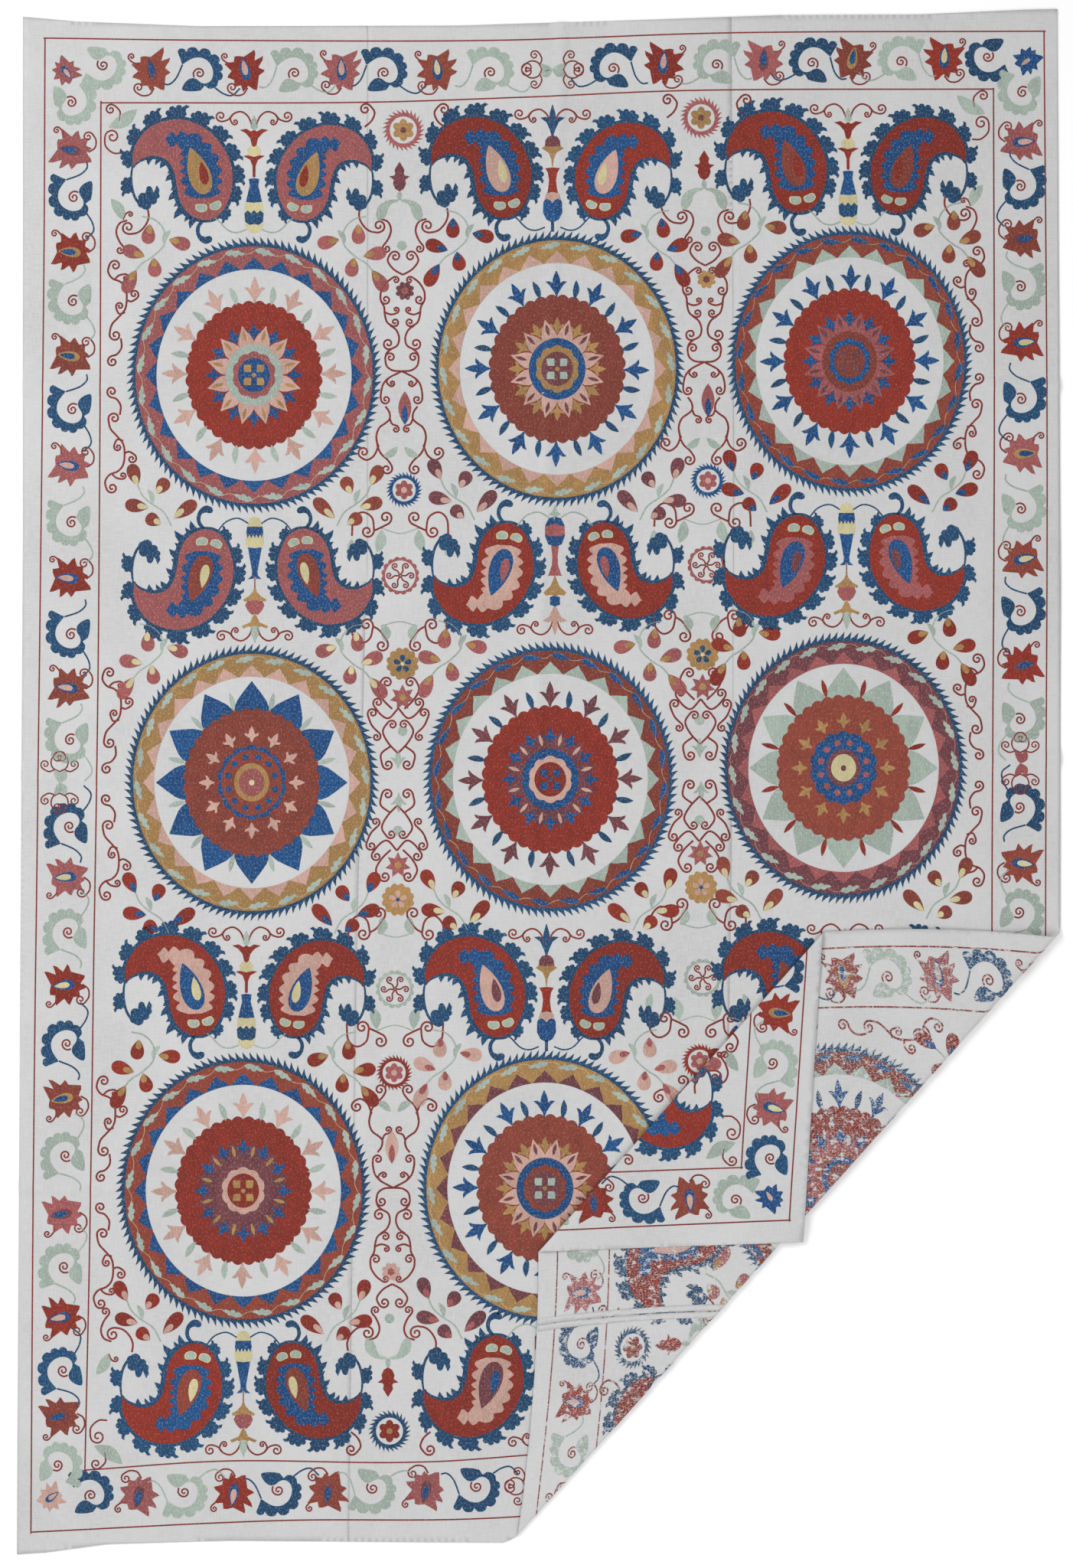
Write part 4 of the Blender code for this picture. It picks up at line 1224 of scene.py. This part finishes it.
for line in LINES:
    column = len(line[3]) == 2
    for flip in line[3]:
        for half in (1, -1):
            for points, end, start in SCROLLS:
                if column or IN_STRIPS[0] < points[0][1] < IN_STRIPS[1]:
                    scroll_line(on_line(points, line, half, flip), end, start, flip * half)
            for x, y, turn, length, width in COLUMN_LEAVES if column else ():
                foot = on_line([(x, y)], line, half, flip)[0]
                turn = (turn if half == 1 else 180 - turn) * flip
                fill("sage", put(leaf(length, width, 2), foot[0], -foot[1], turn, flip=flip * half))
        for middle in () if column else STRIP_MIDDLES:
            for points, end, start in STRIP:
                for half in (1, -1):
                    path = on_line([(x, middle + y * half) for x, y in points], line, 1, flip)
                    scroll_line(path, end, start, flip * half)
    for points in GARLANDS if column else ():
        for half in (1, -1):
            stitch("sage", put(smooth(on_line(points, line, half, 1)), 0, 0), 1.6)

# Bud sprigs: at each of a rosette's four corners a sage stem carries drop-shaped buds, each with
# a smaller drop at its foot. Each row: the threads of the buds and hearts above, then below.
SPRIG_THREADS = [
    ("rose", "gold", "brick", "pale"), ("red", "blue", "plum", "pink"), ("brick", "gold", "red", "blue"),
    ("rose", "pale", "red", "blue"), ("rose", "gold", "red", "pale"), ("red", "gold", "brick", "pale"),
    ("red", "gold", "red", "pink"), ("pink", "rose", "plum", "rose"), ("red", "blue", "rose", "gold"),
]
# Each row: the bud's foot and its round end, right and up from the rosette's middle. The first
# table stands above a rosette, and the second, with up as down, below it.
BUDS_ABOVE = [
    (136, 197, 138, 173), (111, 177, 85, 171), (143, 155, 170, 163), (131, 153, 128, 130), (154, 137, 171, 111),
]
BUDS_BELOW = [
    (152, 144, 162, 119), (127, 155, 116, 136), (138, 173, 166, 168), (105, 187, 80, 164), (122, 195, 138, 183),
]
STEM_ABOVE = [(146, 207), (130, 203), (118, 190), (117, 171), (132, 155), (146, 146), (154, 137)]
STEM_BELOW = [(152, 144), (146, 157), (134, 168), (118, 179), (108, 197)]
for (x, y, *_), (upper, upper_heart, lower, lower_heart) in zip(MEDALLIONS, SPRIG_THREADS):
    for right in (1, -1):
        for up, thread, heart, buds, stem, leaf_at in (
            (1, upper, upper_heart, BUDS_ABOVE, STEM_ABOVE, (119, 172, 30)),
            (-1, lower, lower_heart, BUDS_BELOW, STEM_BELOW, (132, 168, 200)),
        ):
            for x0, y0, x1, y1 in buds:
                run = np.array([(x1 - x0) * right, (y1 - y0) * up])
                turn, length = math.degrees(math.atan2(-run[0], run[1])), np.linalg.norm(run)
                at_x, at_y = x + x0 * right, y - y0 * up
                fill(thread, put(drop(length * 1.08, 19.5), at_x, at_y, turn + luck.uniform(-8, 8)), level=1)
                fill(heart, put(drop(length * 0.52, 8.5), at_x, at_y, turn), level=2)
            stitch("sage", put(smooth(np.array(stem) * (right, up)), x, y), 2.2)
            fill("sage", put(moved(leaf(20, 7, 2), *leaf_at) * (right, up), x, y))

# The silk. Floss is laid up and down the cloth and couched with small slanting stitches, so it
# has fine upright streaks, uneven dye and a soft sheen, and its glints are painted highlights: lighter
# flecks in its colour. On the reverse the same shapes show as broken stitches, with the cotton between
# them.
# Each row: thread, main colour, darker colour, painted highlight colour, share of painted highlights.
THREADS = [
    ("red", (134, 42, 29), (112, 36, 26), (158, 92, 84), 0.24),
    ("brick", (133, 60, 46), (110, 50, 40), (158, 106, 98), 0.24),
    ("rose", (150, 80, 80), (130, 70, 70), (182, 134, 133), 0.25),
    ("pink", (190, 152, 140), (166, 132, 120), (203, 176, 168), 0.3),
    ("blue", (10, 70, 124), (8, 56, 104), (102, 130, 158), 0.34),
    ("teal", (18, 66, 104), (16, 54, 86), (104, 128, 148), 0.3),
    ("sage", (154, 168, 157), (138, 150, 141), (184, 194, 187), 0.3),
    ("gold", (162, 124, 74), (138, 106, 64), (188, 158, 124), 0.26),
    ("pale", (198, 188, 144), (176, 167, 128), (208, 201, 172), 0.25),
    ("plum", (106, 56, 62), (90, 48, 54), (150, 122, 124), 0.25),
    ("line", (126, 44, 38), (108, 38, 34), (156, 104, 100), 0.2),
]


def silk(name, main, dark, painted_highlight, painted_highlight_share, reverse):
    """One dyed silk, on the face, or on the reverse with the cotton showing along a fine net."""
    material, shader, spot = new_material(name)
    shade = Wire(spot.tree, spot.node("ShaderNodeAttribute", {"attribute_name": "shade"}).outputs["Fac"])
    streak = noise(spot, 520, 80, 2.0, 0.6)
    dye = noise(spot, 60, 34, 3.0, 0.6)
    grain = noise(spot, 430, 300, 2.0, 0.7)
    depth = (dye * 0.6 + shade * 0.3 + streak * 0.5 - 0.22).clamped(0.34, 0.70)
    tone = depth.mix(linear(*dark), linear(*main))
    # Painted highlights: where the grain noise is high, lighter flecks stand in for glints on the floss.
    tone = grain.clamped(0.62 - painted_highlight_share * 0.35, 0.84).mix(tone, linear(*painted_highlight))
    if reverse:
        net = (noise(spot, 330, 210, 1.0, 0.5) - 0.5).math("ABSOLUTE")
        net = 1.0 - net.clamped(0.010, 0.045)
        bare = noise(spot, 130, 90, 2.0, 0.6).clamped(0.56, 0.70)
        tone = (net * 0.75 + bare * 0.8).clamped(0.1, 0.9).mix(tone, COTTON)
    join(tone, shader, "Base Color")
    bump(streak * 0.6 + grain * 0.5, shader, 0.0006, 0.8)
    shader.inputs["Roughness"].default_value = 0.62
    shader.inputs["Specular IOR Level"].default_value = 0.2
    return material


for thread, *colours in THREADS:
    shapes = work[thread]
    for reverse in (False, True):
        flats, rises, faces, shades, first = [], [], [], [], 0
        for flat, tris, height, shade, wall in shapes:
            rise = -0.8 * height if reverse else CLOTH + height
            if reverse:
                tris = tris[:, ::-1]
            flats.append(flat)
            rises.append(rise)
            faces.append(tris + first)
            first += len(flat)
            if wall and not reverse:
                sides = rim(tris, len(flat))
                top, low = flat[sides], flat[sides]
                flats += [top.reshape(-1, 2), low.reshape(-1, 2)]
                rises += [rise[sides].ravel(), np.full(sides.size, CLOTH - 0.00005)]
                a = first + 2 * np.arange(len(sides))
                c = a + sides.size
                faces += [np.column_stack([c, c + 1, a + 1]), np.column_stack([c, a + 1, a])]
                first += 2 * sides.size
            shades.append(np.full(first - sum(map(len, shades)), shade))
        flat = np.concatenate(flats)
        spots = lay(flat, np.concatenate(rises))
        name = ("reverse_" if reverse else "silk_") + thread
        piece = mesh_piece(name, spots, flat, np.concatenate(faces), np.concatenate(shades))
        piece.data.materials.append(silk(name, *colours, reverse))
        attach(piece, "root")

# The floor, the light and the camera: a pale floor under soft studio light, seen from straight
# above from far enough away that the cloth's edges don't lean.
FLOOR_SIZE = 14
CAMERA_HEIGHT = 8.0
FRAME_HIGH = 2048 * PIXEL
bpy.ops.mesh.primitive_plane_add(size=FLOOR_SIZE, location=(0, 0, -0.0002))
floor = bpy.context.object
floor.name = "floor"
paper = bpy.data.materials.new("floor")
paper.use_nodes = True
paper.node_tree.nodes["Principled BSDF"].inputs["Base Color"].default_value = (0.93, 0.93, 0.93, 1)
paper.node_tree.nodes["Principled BSDF"].inputs["Roughness"].default_value = 0.9
floor.data.materials.append(paper)
for name, spot, size, power in (
    ("key", (-2.9, 1.4, 3.6), 2.4, 121), ("fill", (1.4, -2.8, 3.8), 3.2, 73),
):
    light = bpy.data.lights.new(name, "AREA")
    light.energy, light.size = power, size
    lamp = bpy.data.objects.new(name, light)
    lamp.location = spot
    lamp.rotation_euler = Vector(spot).to_track_quat("Z", "Y").to_euler()
    bpy.context.scene.collection.objects.link(lamp)
world = bpy.data.worlds.new("studio")
world.use_nodes = True
world.node_tree.nodes["Background"].inputs["Color"].default_value = (1, 1, 1, 1)
world.node_tree.nodes["Background"].inputs["Strength"].default_value = 0.61
bpy.context.scene.world = world
bpy.context.scene.view_settings.view_transform = "Standard"
lens = bpy.data.cameras.new("camera")
lens.lens = lens.sensor_width * CAMERA_HEIGHT / FRAME_HIGH
camera = bpy.data.objects.new("camera", lens)
camera.location = ((701 - MIDDLE_X) * PIXEL, (MIDDLE_Y - 1024) * PIXEL, CAMERA_HEIGHT)
bpy.context.scene.collection.objects.link(camera)
bpy.context.scene.camera = camera
